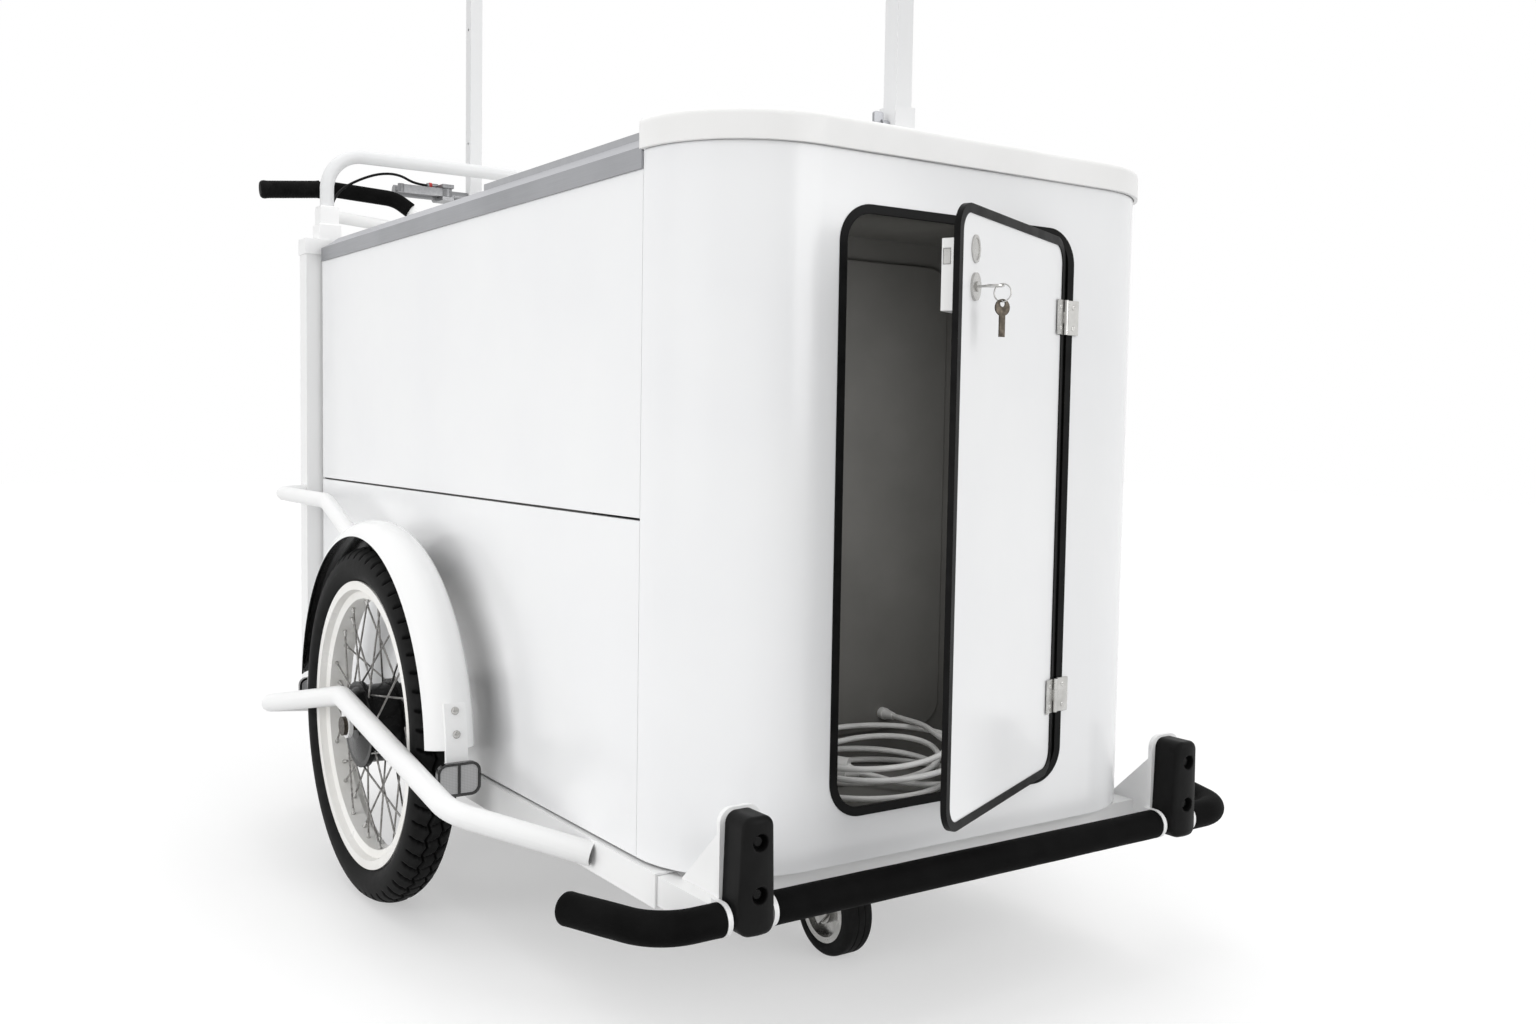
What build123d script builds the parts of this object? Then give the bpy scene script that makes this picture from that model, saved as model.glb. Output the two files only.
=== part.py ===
from build123d import *
import math
import os

# Ice cream cart on two spoked wheels and a swivel caster, in millimetres.
# Frame: +Z up from the floor, X across the cart, the door end faces -Y and the handlebar is at +Y.
# The origin is on the floor, in the middle of the box round the whole cart.
# In the code a place along the cart is given as "back", the distance behind the cabinet's front face.

# Place of the cabinet's front face
FRONT_Y = -684.0

# Cabinet
CABINET_WIDTH = 730.0
CABINET_BACK = 1340.0
CABINET_BOTTOM = 219.0
SHELL_RISE = 21.0
SHELL_DEPTH = 147.0
CORNER_RADIUS = 141.0
SHEET = 3.0
SEAM_HEIGHT = 609.0
SEAM_GAP = 3.0
PANEL_TOP = 1006.0
FIT_GAP = 0.5

# Chassis
RAIL_TUBE_WIDTH = 30.0
RAIL_TUBE_HEIGHT = 40.0
RAIL_WALL = 2.5
RAIL_TOP = 216.0
RAIL_OUTSIDE = 372.0
RAIL_FRONT = 91.0
CROSS_TUBE_DEPTH = 40.0
FRONT_CROSS_BACK = 45.0
FRONT_CROSS_HEIGHT = 28.0

# Door and its opening
DOOR_OPEN_ANGLE = 25.5
OPENING_LEFT = -198.5
OPENING_RIGHT = 171.0
OPENING_BOTTOM = 272.5
OPENING_DROP = 36.0
OPENING_RADIUS = 44.0
FRAME_TRIM_FACE = 10.5
FRAME_TRIM_GRIP = 7.5
FRAME_TRIM_PROUD = 1.1
DOOR_GAP = 1.2
DOOR_SHEET = 4.0
DOOR_TRIM_LIP = 10.0
DOOR_TRIM_SKIN = 1.5
HINGE_AXIS_PROUD = 5.0
HINGE_AXIS_IN = 16.0
HINGE_HEIGHT = 43.0
HINGE_LEAF = 24.0
HINGE_LEAF_SHEET = 1.5
HINGE_CLEAR = 0.4
HINGE_KNUCKLE = 3.2
HINGE_PIN = 1.6
HINGE_LOW_RISE = 111.5
HINGE_HIGH_DROP = 109.0
RUNNING_FIT = 0.05
LOCK_INSET = 47.0
LOCK_DROP = 98.0
PLUG_RISE = 40.0
ESCUTCHEON_WIDTH = 24.0
ESCUTCHEON_HEIGHT = 30.0
ESCUTCHEON_PROUD = 3.0
LOCK_PLUG_RADIUS = 5.5
LOCK_CASE_WIDTH = 36.0
LOCK_CASE_HEIGHT = 76.0
LOCK_CASE_DEPTH = 20.0
LOCK_CASE_RISE = 10.0
LOCK_CASE_WALL = 3.0
BOLT_THICK = 8.0
BOLT_HEIGHT = 16.0
BOLT_LENGTH = 30.0
KEY_THICK = 2.0
KEY_BOW_RADIUS = 10.0
KEY_SHANK = 8.0
KEY_REACH = 33.0
KEY_HOLE_RADIUS = 4.0
KEY_STRIP = 2.4
RING_RADIUS = 9.5
RING_WIRE = 0.75
RING_SLACK = 0.2
SPARE_KEY_LENGTH = 40.0
SPARE_KEY_BOW = 9.0
SPARE_KEY_BLADE = 7.0
SPARE_KEY_HOLE = 3.4
SPARE_KEY_STRIP = 1.6
SPARE_KEY_PLAY = 0.6
SPARE_KEY_TURN = -35.0

# Compartment behind the door
LINER_HALF_WIDTH = 222.0
LINER_BACK = 262.0
LINER_SILL = 8.5
LINER_HEAD = 8.0
LINER_SHEET = 2.0
LINER_PANEL_RAISE = 6.0
LINER_PANEL_MARGIN = 34.0

# Mains lead, coiled on the compartment floor
LEAD_DIAMETER = 7.5
LEAD_TURNS = 4
LEAD_LAYER = 8.8
LEAD_CENTRE_X = -28.0
LEAD_CENTRE_BACK = 132.0
LEAD_TURN_RADIUS = 92.0
LEAD_TURN_SPREAD = 9.0
LEAD_TURN_DRIFT = 12.0
LEAD_SPREAD_WAVE = 2.1
LEAD_DRIFT_WAVES = (1.7, 2.9)
LEAD_STEPS_PER_TURN = 4
LEAD_STRETCH = 1.12
LEAD_TILT = 20.0
LEAD_TILT_ANGLE = 30.0
LEAD_START_ANGLE = 12.0
LEAD_TAIL_TURN = 0.5
LEAD_TAIL_RADIUS = 34.0
GLAND_X = 84.0
GLAND_LEVEL = 322.0
GLAND_LENGTH = 26.0
GLAND_RADIUS = 8.0
GLAND_NOSE_RADIUS = 7.2
PLUG_LENGTH = 46.0
PLUG_RADIUS = 17.0
PLUG_BOOT_RADIUS = 10.2
PLUG_PIN_LENGTH = 19.0
PLUG_PIN_RADIUS = 2.4
PLUG_PIN_SPACING = 19.0

# Top: moulded cap, lid rails and sliding lids
CAP_OVERHANG = 6.0
CAP_RISE = 14.0
CAP_SKIN = 5.0
CAP_EDGE_RADIUS = 8.0
TRACK_RISE = 27.0
TRACK_STEP = 15.0
TRACK_UPPER_IN = 22.0
TRACK_STEP_IN = 42.0
TRACK_LOWER_IN = 66.0
RAIL_LEDGE_RISE = 24.0
RAIL_LEDGE_IN = 7.0
RAIL_PROUD = 3.0
RAIL_BACK = 1336.0
RAIL_MITRE = 44.0
STRIP_DEPTH = 45.0
LID_THICK = 9.0
LID_PLAY = 1.5
LID_LIFT = 0.4
LID_MEET = 654.0
LID_OVERLAP = 16.0
LID_GRIP_HEIGHT = 12.0
LOW_GRIP_HEIGHT = 4.5
LID_GRIP_LENGTH = 180.0
LID_GRIP_DEPTH = 14.0

# Freezer
TUB_HALF_WIDTH = 296.0
TUB_FRONT = 330.0
TUB_BACK = 1280.0
TUB_FLOOR = 300.0
TUB_SHEET = 2.0
HUMP_BACK = 545.0
HUMP_TOP = 640.0
FOAM_FRONT = 270.0
MACHINE_BACK = 500.0
MACHINE_TOP = 580.0
UNIT_PLATE = 3.0
COMPRESSOR_RADIUS = 78.0
COMPRESSOR_HEIGHT = 190.0
CONDENSER_WIDTH = 220.0
CONDENSER_HEIGHT = 230.0
CONDENSER_DEPTH = 50.0
CONDENSER_FINS = 8

# Rear frame
POST = 40.0
POST_OUTSIDE = 392.0
POST_FRONT = 1347.0
POST_WALL = 2.0
POST_RISE = 13.0
POST_CAP_HEIGHT = 28.0
POST_CAP_LIP = 2.0
SOCKET = 40.0
SOCKET_NECK = 34.0
SOCKET_HEIGHT = 63.0
SOCKET_STEP = 30.0
SOCKET_CHAMFER = 2.5
SOCKET_X = 348.0
HOOP_TUBE = 25.0
HOOP_WALL = 2.0
HOOP_RISE = 98.0
HOOP_BEND = 66.0
CARRIER_TUBE = 22.0
CARRIER_DROP = 16.0

# Canopy poles
POLE = 25.0
POLE_WALL = 1.5
POLE_TOP = 1950.0
POLE_SOCKET = 32.0
POLE_PLAY = 0.5
POLE_FRONT_BACK = 146.0
POLE_REAR_BACK = 1515.0
POLE_SOCKET_RISE = 61.0
POLE_SOCKET_HEIGHT = 137.0
REAR_SOCKET_DROP = 94.0
REAR_SOCKET_RISE = 96.0
POLE_PIN_HOLE = 6.0
POLE_PIN_PITCH = 230.0
POLE_PIN_LEVEL = 1290.0
POLE_CAP = 4.0
KNOB_DROP = 23.0
KNOB_SCREW = 6.0
KNOB_LENGTH = 22.0
KNOB_WING = 30.0

# Handlebar and brake lever
BAR_TUBE = 22.0
BAR_WALL = 2.0
SLEEVE_DIAMETER = 30.0
GRIP_DIAMETER = 35.0
GRIP_LENGTH = 104.0
GRIP_END = 5.0
SLEEVE_PLAY = 0.15
BAR_TIP = (427.0, 1506.0, 57.0)
BAR_GRIP_BEND = (300.0, 1494.0, 69.0)
BAR_DROP_BEND = (190.0, 1450.0, 56.0)
BAR_MIDDLE_BEND = (82.0, 1400.0, -28.0)
BAR_BEND_RADIUS = 60.0
SLEEVE_STOP = 36.0
STEM_HALF = 16.5
LEVER_STUB_DROP = 12.0
LEVER_STUB_REACH = 170.0
LEVER_STUB_TUBE = 22.0
LEVER_CLAMP_X = -74.0
LEVER_CLAMP_WIDTH = 24.0
LEVER_CLAMP_WALL = 5.0
LEVER_PIVOT_AHEAD = 36.0
LEVER_LENGTH = 96.0
LEVER_HEIGHT = 16.0
LEVER_THICK = 6.0
LEVER_PIVOT_PIN = 3.0
ADJUSTER_RADIUS = 5.0
ADJUSTER_LENGTH = 18.0
CABLE_DIAMETER = 5.0
CABLE_OFF_POST = 8.0
CABLE_DROP = 26.0
CABLE_TURN = 90.0
CABLE_LOOP_OUT = 92.0
CABLE_LOOP_AHEAD = 42.0
CABLE_LOOP_RISE = 8.0
CABLE_FALL_IN = 74.0
CABLE_FALL_AHEAD = 55.0
CABLE_FALL_DROP = 22.0
CABLE_POST_IN = 30.0
CABLE_POST_BEHIND = 42.0
CABLE_POST_DROP = 66.0
CABLE_TOP_DROP = 64.0
CABLE_LEAVE = 330.0
CABLE_CROSS = 215.0
CABLE_CROSS_RISE = 2.0
CABLE_ARRIVE = 100.0
BRAKE_WIRE = 26.0
BRAKE_WIRE_RADIUS = 1.0
BRAKE_EYE_WIDTH = 14.0
BRAKE_EYE_RADIUS = 3.5

# Rear wheels
WHEEL_X = 450.0
WHEEL_BACK = 796.0
TYRE_RADIUS = 265.0
TYRE_WIDTH = 65.0
TYRE_SHOULDER = 20.0
RIM_SEAT_RADIUS = 204.0
RIM_FLANGE_RISE = 10.0
RIM_WELL_DEPTH = 14.0
RIM_HALF_WIDTH = 26.0
RIM_SHEET = 3.0
SPOKE_COUNT = 36
SPOKE_DIAMETER = 3.0
SPOKE_SWEEP = 34.0
HUB_DRUM_RADIUS = 58.0
HUB_FLANGE_RADIUS = 64.0
HUB_FLANGE_OUT = 28.0
HUB_FLANGE_SHEET = 8.0
HUB_NOSE_RADIUS = 22.0
HUB_HALF_WIDTH = 33.0
AXLE_RADIUS = 8.0
AXLE_CAP_RADIUS = 14.0
BRACKET_SHEET = 6.0
BRACKET_HALF_WIDTH = 26.0
HANGER_HALF_WIDTH = 18.2
BRAKE_PLATE_RADIUS = 56.0
BRAKE_PLATE_SHEET = 4.0
BRAKE_PLATE_GAP = 3.0
BRAKE_ARM_LENGTH = 62.0
BRAKE_ARM_WIDTH = 16.0
BRAKE_ARM_SHEET = 5.0
BRAKE_ARM_GAP = 3.0
BRAKE_PIVOT_RADIUS = 5.0
BRAKE_PIVOT_AHEAD = 34.0
BRAKE_PIVOT_DROP = 8.0

# Guard rails, mudguards and reflectors
GUARD_TUBE = 30.0
GUARD_WALL = 2.5
GUARD_PLANE = 503.0
GUARD_WELD_FRONT = (243.0, 198.0)
GUARD_FRONT = (370.0, 238.0)
GUARD_APEX_LEVEL = 311.0
GUARD_REAR = (1206.0, 228.0)
GUARD_WELD_REAR = (1310.0, 198.0)
GUARD_BEND = 70.0
MUDGUARD_RADIUS = 305.0
MUDGUARD_WIDTH = 70.0
MUDGUARD_INSET = 4.0
MUDGUARD_DROP = 24.0
MUDGUARD_SHEET = 2.5
MUDGUARD_FRONT_ANGLE = 3.6
MUDGUARD_REAR_ANGLE = 6.6
STAY_TUBE = 25.0
STAY_X = 446.0
STAY_LEVEL = 585.0
STAY_BEND_BACK = 1055.0
STAY_REAR_BACK = 1320.0
STAY_BEND = 45.0
STAY_FOOT_ANGLE = 62.0
REFLECTOR_WIDTH = 60.0
REFLECTOR_HEIGHT = 45.0
REFLECTOR_DEPTH = 8.0
REFLECTOR_DROP = 15.0
REFLECTOR_RADIUS = 13.0
REFLECTOR_RIM = 3.5
REFLECTOR_SINK = 1.5
REFLECTOR_BRACKET_SHEET = 3.0
REFLECTOR_BRACKET_NECK = 30.0
REFLECTOR_BRACKET_RISE = 62.0

# Bumper
BUMPER_TUBE = 25.0
BUMPER_WALL = 2.5
BUMPER_FOAM = 37.0
BUMPER_AHEAD = 42.0
BUMPER_LEVEL = 204.0
BUMPER_BRACKET_X = 339.0
BUMPER_CORNER_X = 444.0
BUMPER_END_X = 491.0
BUMPER_END_BACK = 75.0
BUMPER_BEND = 60.0
BUMPER_PLATE_SHEET = 6.0
BUMPER_PLATE_AHEAD = 31.0
BUMPER_COLLAR = 6.0
RUBBER_WIDTH = 52.0
RUBBER_MARGIN = 3.0
RUBBER_BOTTOM = 185.0
RUBBER_TOP = 318.0
RUBBER_DEPTH = 40.0
RUBBER_RADIUS = 16.0
RUBBER_TAPER = 4.0
RUBBER_CROWN = 48.0
RUBBER_EDGE = 7.0
RUBBER_BOLT_LEVELS = (232.0, 288.0)
RUBBER_BOLT_HOLE = 19.0
RUBBER_BOLT_SINK = 12.0
ARM_LENGTH = 220.0
ARM_PLAY = 0.5
GUSSET_REACH = 95.0
GUSSET_HEIGHT = 90.0
GUSSET_SHEET = 5.0

# Caster
CASTER_BACK = 245.0
CASTER_TRAIL = 38.0
CASTER_RADIUS = 62.5
CASTER_WIDTH = 42.0
CASTER_CORE_RADIUS = 44.0
CASTER_AXLE_RADIUS = 6.0
CASTER_PLATE_WIDTH = 105.0
CASTER_PLATE_DEPTH = 85.0
CASTER_PLATE_SHEET = 6.0
CASTER_RACE_RADIUS = 30.0
CASTER_RACE_HEIGHT = 16.0
CASTER_PIN_RADIUS = 8.0
CASTER_CROWN = 6.0
CASTER_CHEEK = 4.0
CASTER_SIDE_GAP = 2.0
CASTER_FLOAT = 0.5

# Places that follow from the sizes above
HALF = CABINET_WIDTH / 2
RAIL_BOTTOM = RAIL_TOP - RAIL_TUBE_HEIGHT
RAIL_INSIDE = RAIL_OUTSIDE - RAIL_TUBE_WIDTH
POST_BACK = POST_FRONT + POST
POST_MIDDLE = POST_FRONT + POST / 2
SHELL_TOP = PANEL_TOP + SHELL_RISE
TRACK_LOWER = PANEL_TOP + TRACK_RISE
TRACK_UPPER = TRACK_LOWER + TRACK_STEP
CAP_TOP = TRACK_UPPER + CAP_RISE
POST_TOP = PANEL_TOP + POST_RISE
POST_CAP_TOP = POST_TOP + POST_CAP_HEIGHT
SOCKET_TOP = POST_CAP_TOP + SOCKET_HEIGHT
HOOP_TOP = SOCKET_TOP + HOOP_RISE
CARRIER_LEVEL = SOCKET_TOP - CARRIER_DROP
POLE_SOCKET_TOP = CAP_TOP + POLE_SOCKET_RISE
POLE_SOCKET_BOTTOM = POLE_SOCKET_TOP - POLE_SOCKET_HEIGHT
REAR_SOCKET_BOTTOM = CARRIER_LEVEL - REAR_SOCKET_DROP
REAR_SOCKET_TOP = CARRIER_LEVEL + REAR_SOCKET_RISE
KNOB_LEVEL = POLE_SOCKET_TOP - KNOB_DROP
BAR_MIDDLE_LEVEL = CARRIER_LEVEL + BAR_MIDDLE_BEND[2]
LEVER_STUB_LEVEL = REAR_SOCKET_TOP - LEVER_STUB_DROP
OPENING_TOP = PANEL_TOP - OPENING_DROP
LINER_FLOOR = OPENING_BOTTOM - LINER_SILL
LINER_TOP = OPENING_TOP + LINER_HEAD
HINGE_LEVELS = (OPENING_BOTTOM + HINGE_LOW_RISE, OPENING_TOP - HINGE_HIGH_DROP)
LOCK_LEVEL = OPENING_TOP - LOCK_DROP
PLUG_LEVEL = LOCK_LEVEL + PLUG_RISE
LOCK_CASE_LEVEL = LOCK_LEVEL + LOCK_CASE_RISE
OPENING_INNER_LEFT = OPENING_LEFT + FRAME_TRIM_FACE
OPENING_INNER_RIGHT = OPENING_RIGHT - FRAME_TRIM_FACE
OPENING_INNER_BOTTOM = OPENING_BOTTOM + FRAME_TRIM_FACE
OPENING_INNER_TOP = OPENING_TOP - FRAME_TRIM_FACE
HINGE_X = OPENING_RIGHT - HINGE_AXIS_IN
DOOR_LEFT = OPENING_INNER_LEFT + DOOR_GAP
DOOR_RIGHT = OPENING_INNER_RIGHT - DOOR_GAP
DOOR_BOTTOM = OPENING_INNER_BOTTOM + DOOR_GAP
DOOR_TOP = OPENING_INNER_TOP - DOOR_GAP
LOCK_X = DOOR_LEFT + LOCK_INSET
AXLE_LEVEL = TYRE_RADIUS
RIM_FLANGE_RADIUS = RIM_SEAT_RADIUS + RIM_FLANGE_RISE
RIM_WELL_RADIUS = RIM_SEAT_RADIUS - RIM_WELL_DEPTH
MUDGUARD_X = WHEEL_X - MUDGUARD_INSET
SWIVEL_BACK = CASTER_BACK - CASTER_TRAIL


def at(x, back, z):
    """Point at x across, "back" behind the cabinet's front face and z above the floor."""
    return Vector(x, back + FRONT_Y, z)


def block(x0, x1, back0, back1, z0, z1):
    """Box between two opposite corners."""
    middle = at((x0 + x1) / 2, (back0 + back1) / 2, (z0 + z1) / 2)
    return Pos(middle) * Box(abs(x1 - x0), abs(back1 - back0), abs(z1 - z0))


def rod_x(radius, x0, x1, back, z):
    """Round bar along X."""
    return Pos(at((x0 + x1) / 2, back, z)) * Rot(0, 90, 0) * Cylinder(radius, abs(x1 - x0))


def rod_y(radius, back0, back1, x, z):
    """Round bar along Y."""
    return Pos(at(x, (back0 + back1) / 2, z)) * Rot(90, 0, 0) * Cylinder(radius, abs(back1 - back0))


def rod_z(radius, z0, z1, x, back):
    """Round bar along Z."""
    return Pos(at(x, back, (z0 + z1) / 2)) * Cylinder(radius, abs(z1 - z0))


def square_tube(side, wall, z0, z1, x, back):
    """Upright square tube, open at both ends."""
    outer = Box(side, side, z1 - z0)
    bore = Box(side - 2 * wall, side - 2 * wall, z1 - z0)
    return Pos(at(x, back, (z0 + z1) / 2)) * (outer - bore)


def bent_path(points, radius):
    """Straight runs through the points, joined by arcs of one radius."""
    if len(points) == 2:
        return Line(points[0], points[1])
    return FilletPolyline(*points, radius=radius)


def bent_tube(points, radius, diameter, wall=None, bore=None):
    """Round tube or bar swept along a bent path."""
    path = bent_path(points, radius)
    section = Circle(diameter / 2)
    inner = bore if bore is not None else (diameter - 2 * wall if wall is not None else None)
    if inner is not None:
        section = section - Circle(inner / 2)
    start = Plane(origin=path @ 0, z_dir=path % 0)
    return sweep(start * section, path=path)


def mirrored(piece):
    """The same piece on the other side of the cart."""
    return mirror(piece, about=Plane.YZ)


def both_sides(piece):
    """A piece and its mirror image."""
    return [piece, mirrored(piece)]


def front_outline(half_width, front, back, radius):
    """Plan outline with two rounded front corners."""
    return make_face(
        [
            Line(at(-half_width, back, 0), at(-half_width, front + radius, 0)),
            RadiusArc(at(-half_width, front + radius, 0), at(-half_width + radius, front, 0), -radius),
            Line(at(-half_width + radius, front, 0), at(half_width - radius, front, 0)),
            RadiusArc(at(half_width - radius, front, 0), at(half_width, front + radius, 0), -radius),
            Line(at(half_width, front + radius, 0), at(half_width, back, 0)),
            Line(at(half_width, back, 0), at(-half_width, back, 0)),
        ]
    )


def front_slab(left, right, bottom, top, radius, back0, back1):
    """Rounded rectangle in the plane of the front face, given a thickness along Y."""
    face = RectangleRounded(right - left, top - bottom, radius)
    middle = at((left + right) / 2, back1, (bottom + top) / 2)
    plane = Plane(origin=middle, x_dir=(1, 0, 0), z_dir=(0, -1, 0))
    return extrude(plane * face, back1 - back0)


def make_chassis():
    """Side tubes with the inner axle plates welded on, and the cross members between them."""
    rail_back = POST_FRONT
    outer = block(-RAIL_OUTSIDE, -RAIL_INSIDE, RAIL_FRONT, rail_back, RAIL_BOTTOM, RAIL_TOP)
    bore = block(
        -RAIL_OUTSIDE + RAIL_WALL,
        -RAIL_INSIDE - RAIL_WALL,
        RAIL_FRONT,
        rail_back,
        RAIL_BOTTOM + RAIL_WALL,
        RAIL_TOP - RAIL_WALL,
    )
    plate_top = AXLE_LEVEL
    plate = block(
        -RAIL_OUTSIDE - BRACKET_SHEET,
        -RAIL_OUTSIDE,
        WHEEL_BACK - BRACKET_HALF_WIDTH,
        WHEEL_BACK + BRACKET_HALF_WIDTH,
        RAIL_BOTTOM,
        plate_top,
    )
    plate += rod_x(BRACKET_HALF_WIDTH, -RAIL_OUTSIDE - BRACKET_SHEET, -RAIL_OUTSIDE, WHEEL_BACK, AXLE_LEVEL)
    plate -= rod_x(AXLE_RADIUS, -RAIL_OUTSIDE - BRACKET_SHEET, -RAIL_OUTSIDE, WHEEL_BACK, AXLE_LEVEL)
    rail = (outer - bore) + plate
    half_span = RAIL_INSIDE
    crosses = []
    swivel_clear = CASTER_PLATE_DEPTH / 2
    rearmost = rail_back - CROSS_TUBE_DEPTH / 2
    for middle in (SWIVEL_BACK - swivel_clear, SWIVEL_BACK + swivel_clear, WHEEL_BACK, rearmost):
        tube = block(
            -half_span,
            half_span,
            middle - CROSS_TUBE_DEPTH / 2,
            middle + CROSS_TUBE_DEPTH / 2,
            RAIL_BOTTOM,
            RAIL_TOP,
        )
        hollow = block(
            -half_span,
            half_span,
            middle - CROSS_TUBE_DEPTH / 2 + RAIL_WALL,
            middle + CROSS_TUBE_DEPTH / 2 - RAIL_WALL,
            RAIL_BOTTOM + RAIL_WALL,
            RAIL_TOP - RAIL_WALL,
        )
        crosses.append(tube - hollow)
    arm_inside = RAIL_INSIDE + RAIL_WALL + ARM_PLAY
    front = FRONT_CROSS_BACK - CROSS_TUBE_DEPTH / 2
    behind = FRONT_CROSS_BACK + CROSS_TUBE_DEPTH / 2
    low = RAIL_TOP - FRONT_CROSS_HEIGHT
    front_cross = block(-arm_inside, arm_inside, front, behind, low, RAIL_TOP)
    wall = RAIL_WALL
    front_cross -= block(-arm_inside, arm_inside, front + wall, behind - wall, low + wall, RAIL_TOP - wall)
    crosses.append(front_cross)
    return {"chassis_rails": both_sides(rail), "chassis_cross_members": crosses}


def make_cabinet():
    """Front shell, side panels and rear panel."""
    outer = front_outline(HALF, 0, SHELL_DEPTH, CORNER_RADIUS)
    inner = front_outline(HALF - SHEET, SHEET, SHELL_DEPTH, CORNER_RADIUS - SHEET)
    shell = Pos(0, 0, CABINET_BOTTOM) * extrude(outer - inner, SHELL_TOP - CABINET_BOTTOM)
    cut = FRAME_TRIM_GRIP
    shell -= front_slab(
        OPENING_LEFT + cut,
        OPENING_RIGHT - cut,
        OPENING_BOTTOM + cut,
        OPENING_TOP - cut,
        OPENING_RADIUS - cut,
        -SHEET,
        2 * SHEET,
    )
    panel_front = SHELL_DEPTH + FIT_GAP
    upper = block(-HALF, -HALF + SHEET, panel_front, CABINET_BACK, SEAM_HEIGHT + SEAM_GAP, PANEL_TOP)
    lower = block(-HALF, -HALF + SHEET, panel_front, CABINET_BACK, CABINET_BOTTOM, SEAM_HEIGHT)
    flange = -HALF + 4 * SHEET
    lower += block(-HALF + SHEET, flange, panel_front, CABINET_BACK, SEAM_HEIGHT - SHEET, SEAM_HEIGHT)
    post_inside = POST_OUTSIDE - POST
    rear = block(-post_inside, post_inside, CABINET_BACK, CABINET_BACK + SHEET, CABINET_BOTTOM, PANEL_TOP)
    panels = both_sides(upper) + both_sides(lower)
    return {"front_shell": [shell], "side_panels": panels, "rear_panel": [rear]}


def make_compartment():
    """Trim round the door opening, and the liner behind it with a raised panel on its back wall."""
    grip = FRAME_TRIM_GRIP
    face = front_slab(
        OPENING_LEFT, OPENING_RIGHT, OPENING_BOTTOM, OPENING_TOP, OPENING_RADIUS, -FRAME_TRIM_PROUD, 0
    )
    neck = front_slab(
        OPENING_LEFT + grip,
        OPENING_RIGHT - grip,
        OPENING_BOTTOM + grip,
        OPENING_TOP - grip,
        OPENING_RADIUS - grip,
        0,
        SHEET,
    )
    hole = front_slab(
        OPENING_INNER_LEFT,
        OPENING_INNER_RIGHT,
        OPENING_INNER_BOTTOM,
        OPENING_INNER_TOP,
        OPENING_RADIUS - FRAME_TRIM_FACE,
        -2 * SHEET,
        2 * SHEET,
    )
    trim = face + neck - hole
    half = LINER_HALF_WIDTH
    liner = block(-half, half, SHEET, LINER_BACK, LINER_FLOOR - LINER_SHEET, LINER_TOP)
    liner -= block(
        -LINER_HALF_WIDTH + LINER_SHEET,
        LINER_HALF_WIDTH - LINER_SHEET,
        0,
        LINER_BACK - LINER_SHEET,
        LINER_FLOOR,
        LINER_TOP - LINER_SHEET,
    )
    margin = LINER_PANEL_MARGIN
    liner += front_slab(
        -LINER_HALF_WIDTH + margin,
        LINER_HALF_WIDTH - margin,
        LINER_FLOOR + margin,
        LINER_TOP - margin,
        margin,
        LINER_BACK - LINER_SHEET - LINER_PANEL_RAISE,
        LINER_BACK - LINER_SHEET,
    )
    gland_hole = rod_y(
        GLAND_RADIUS / 2,
        LINER_BACK - LINER_SHEET - 2 * LINER_PANEL_RAISE,
        LINER_BACK + LINER_SHEET,
        GLAND_X,
        GLAND_LEVEL,
    )
    return {"door_frame_trim": [trim], "compartment_liner": [liner - gland_hole]}


def opened(piece):
    """Turns a piece of the closed door to the angle at which the door stands."""
    axis = Axis(at(HINGE_X, -HINGE_AXIS_PROUD, 0), (0, 0, 1))
    return piece.rotate(axis, DOOR_OPEN_ANGLE)


def make_door():
    """Sheet door with a moulded edge trim, drawn closed and then turned open."""
    skin = DOOR_TRIM_SKIN
    radius = OPENING_RADIUS - FRAME_TRIM_FACE - DOOR_GAP
    edge = front_slab(DOOR_LEFT, DOOR_RIGHT, DOOR_BOTTOM, DOOR_TOP, radius, -skin, DOOR_SHEET + skin)
    window = front_slab(
        DOOR_LEFT + DOOR_TRIM_LIP,
        DOOR_RIGHT - DOOR_TRIM_LIP,
        DOOR_BOTTOM + DOOR_TRIM_LIP,
        DOOR_TOP - DOOR_TRIM_LIP,
        radius - DOOR_TRIM_LIP,
        -2 * skin,
        DOOR_SHEET + 2 * skin,
    )
    panel = front_slab(
        DOOR_LEFT + skin,
        DOOR_RIGHT - skin,
        DOOR_BOTTOM + skin,
        DOOR_TOP - skin,
        radius - skin,
        0,
        DOOR_SHEET,
    )
    trim = edge - window - panel
    plug_bore = rod_y(LOCK_PLUG_RADIUS + RUNNING_FIT, -2 * skin, 2 * DOOR_SHEET, LOCK_X, LOCK_LEVEL)
    panel -= plug_bore
    return {"door_panel": [opened(panel)], "door_trim": [opened(trim)]}


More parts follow.
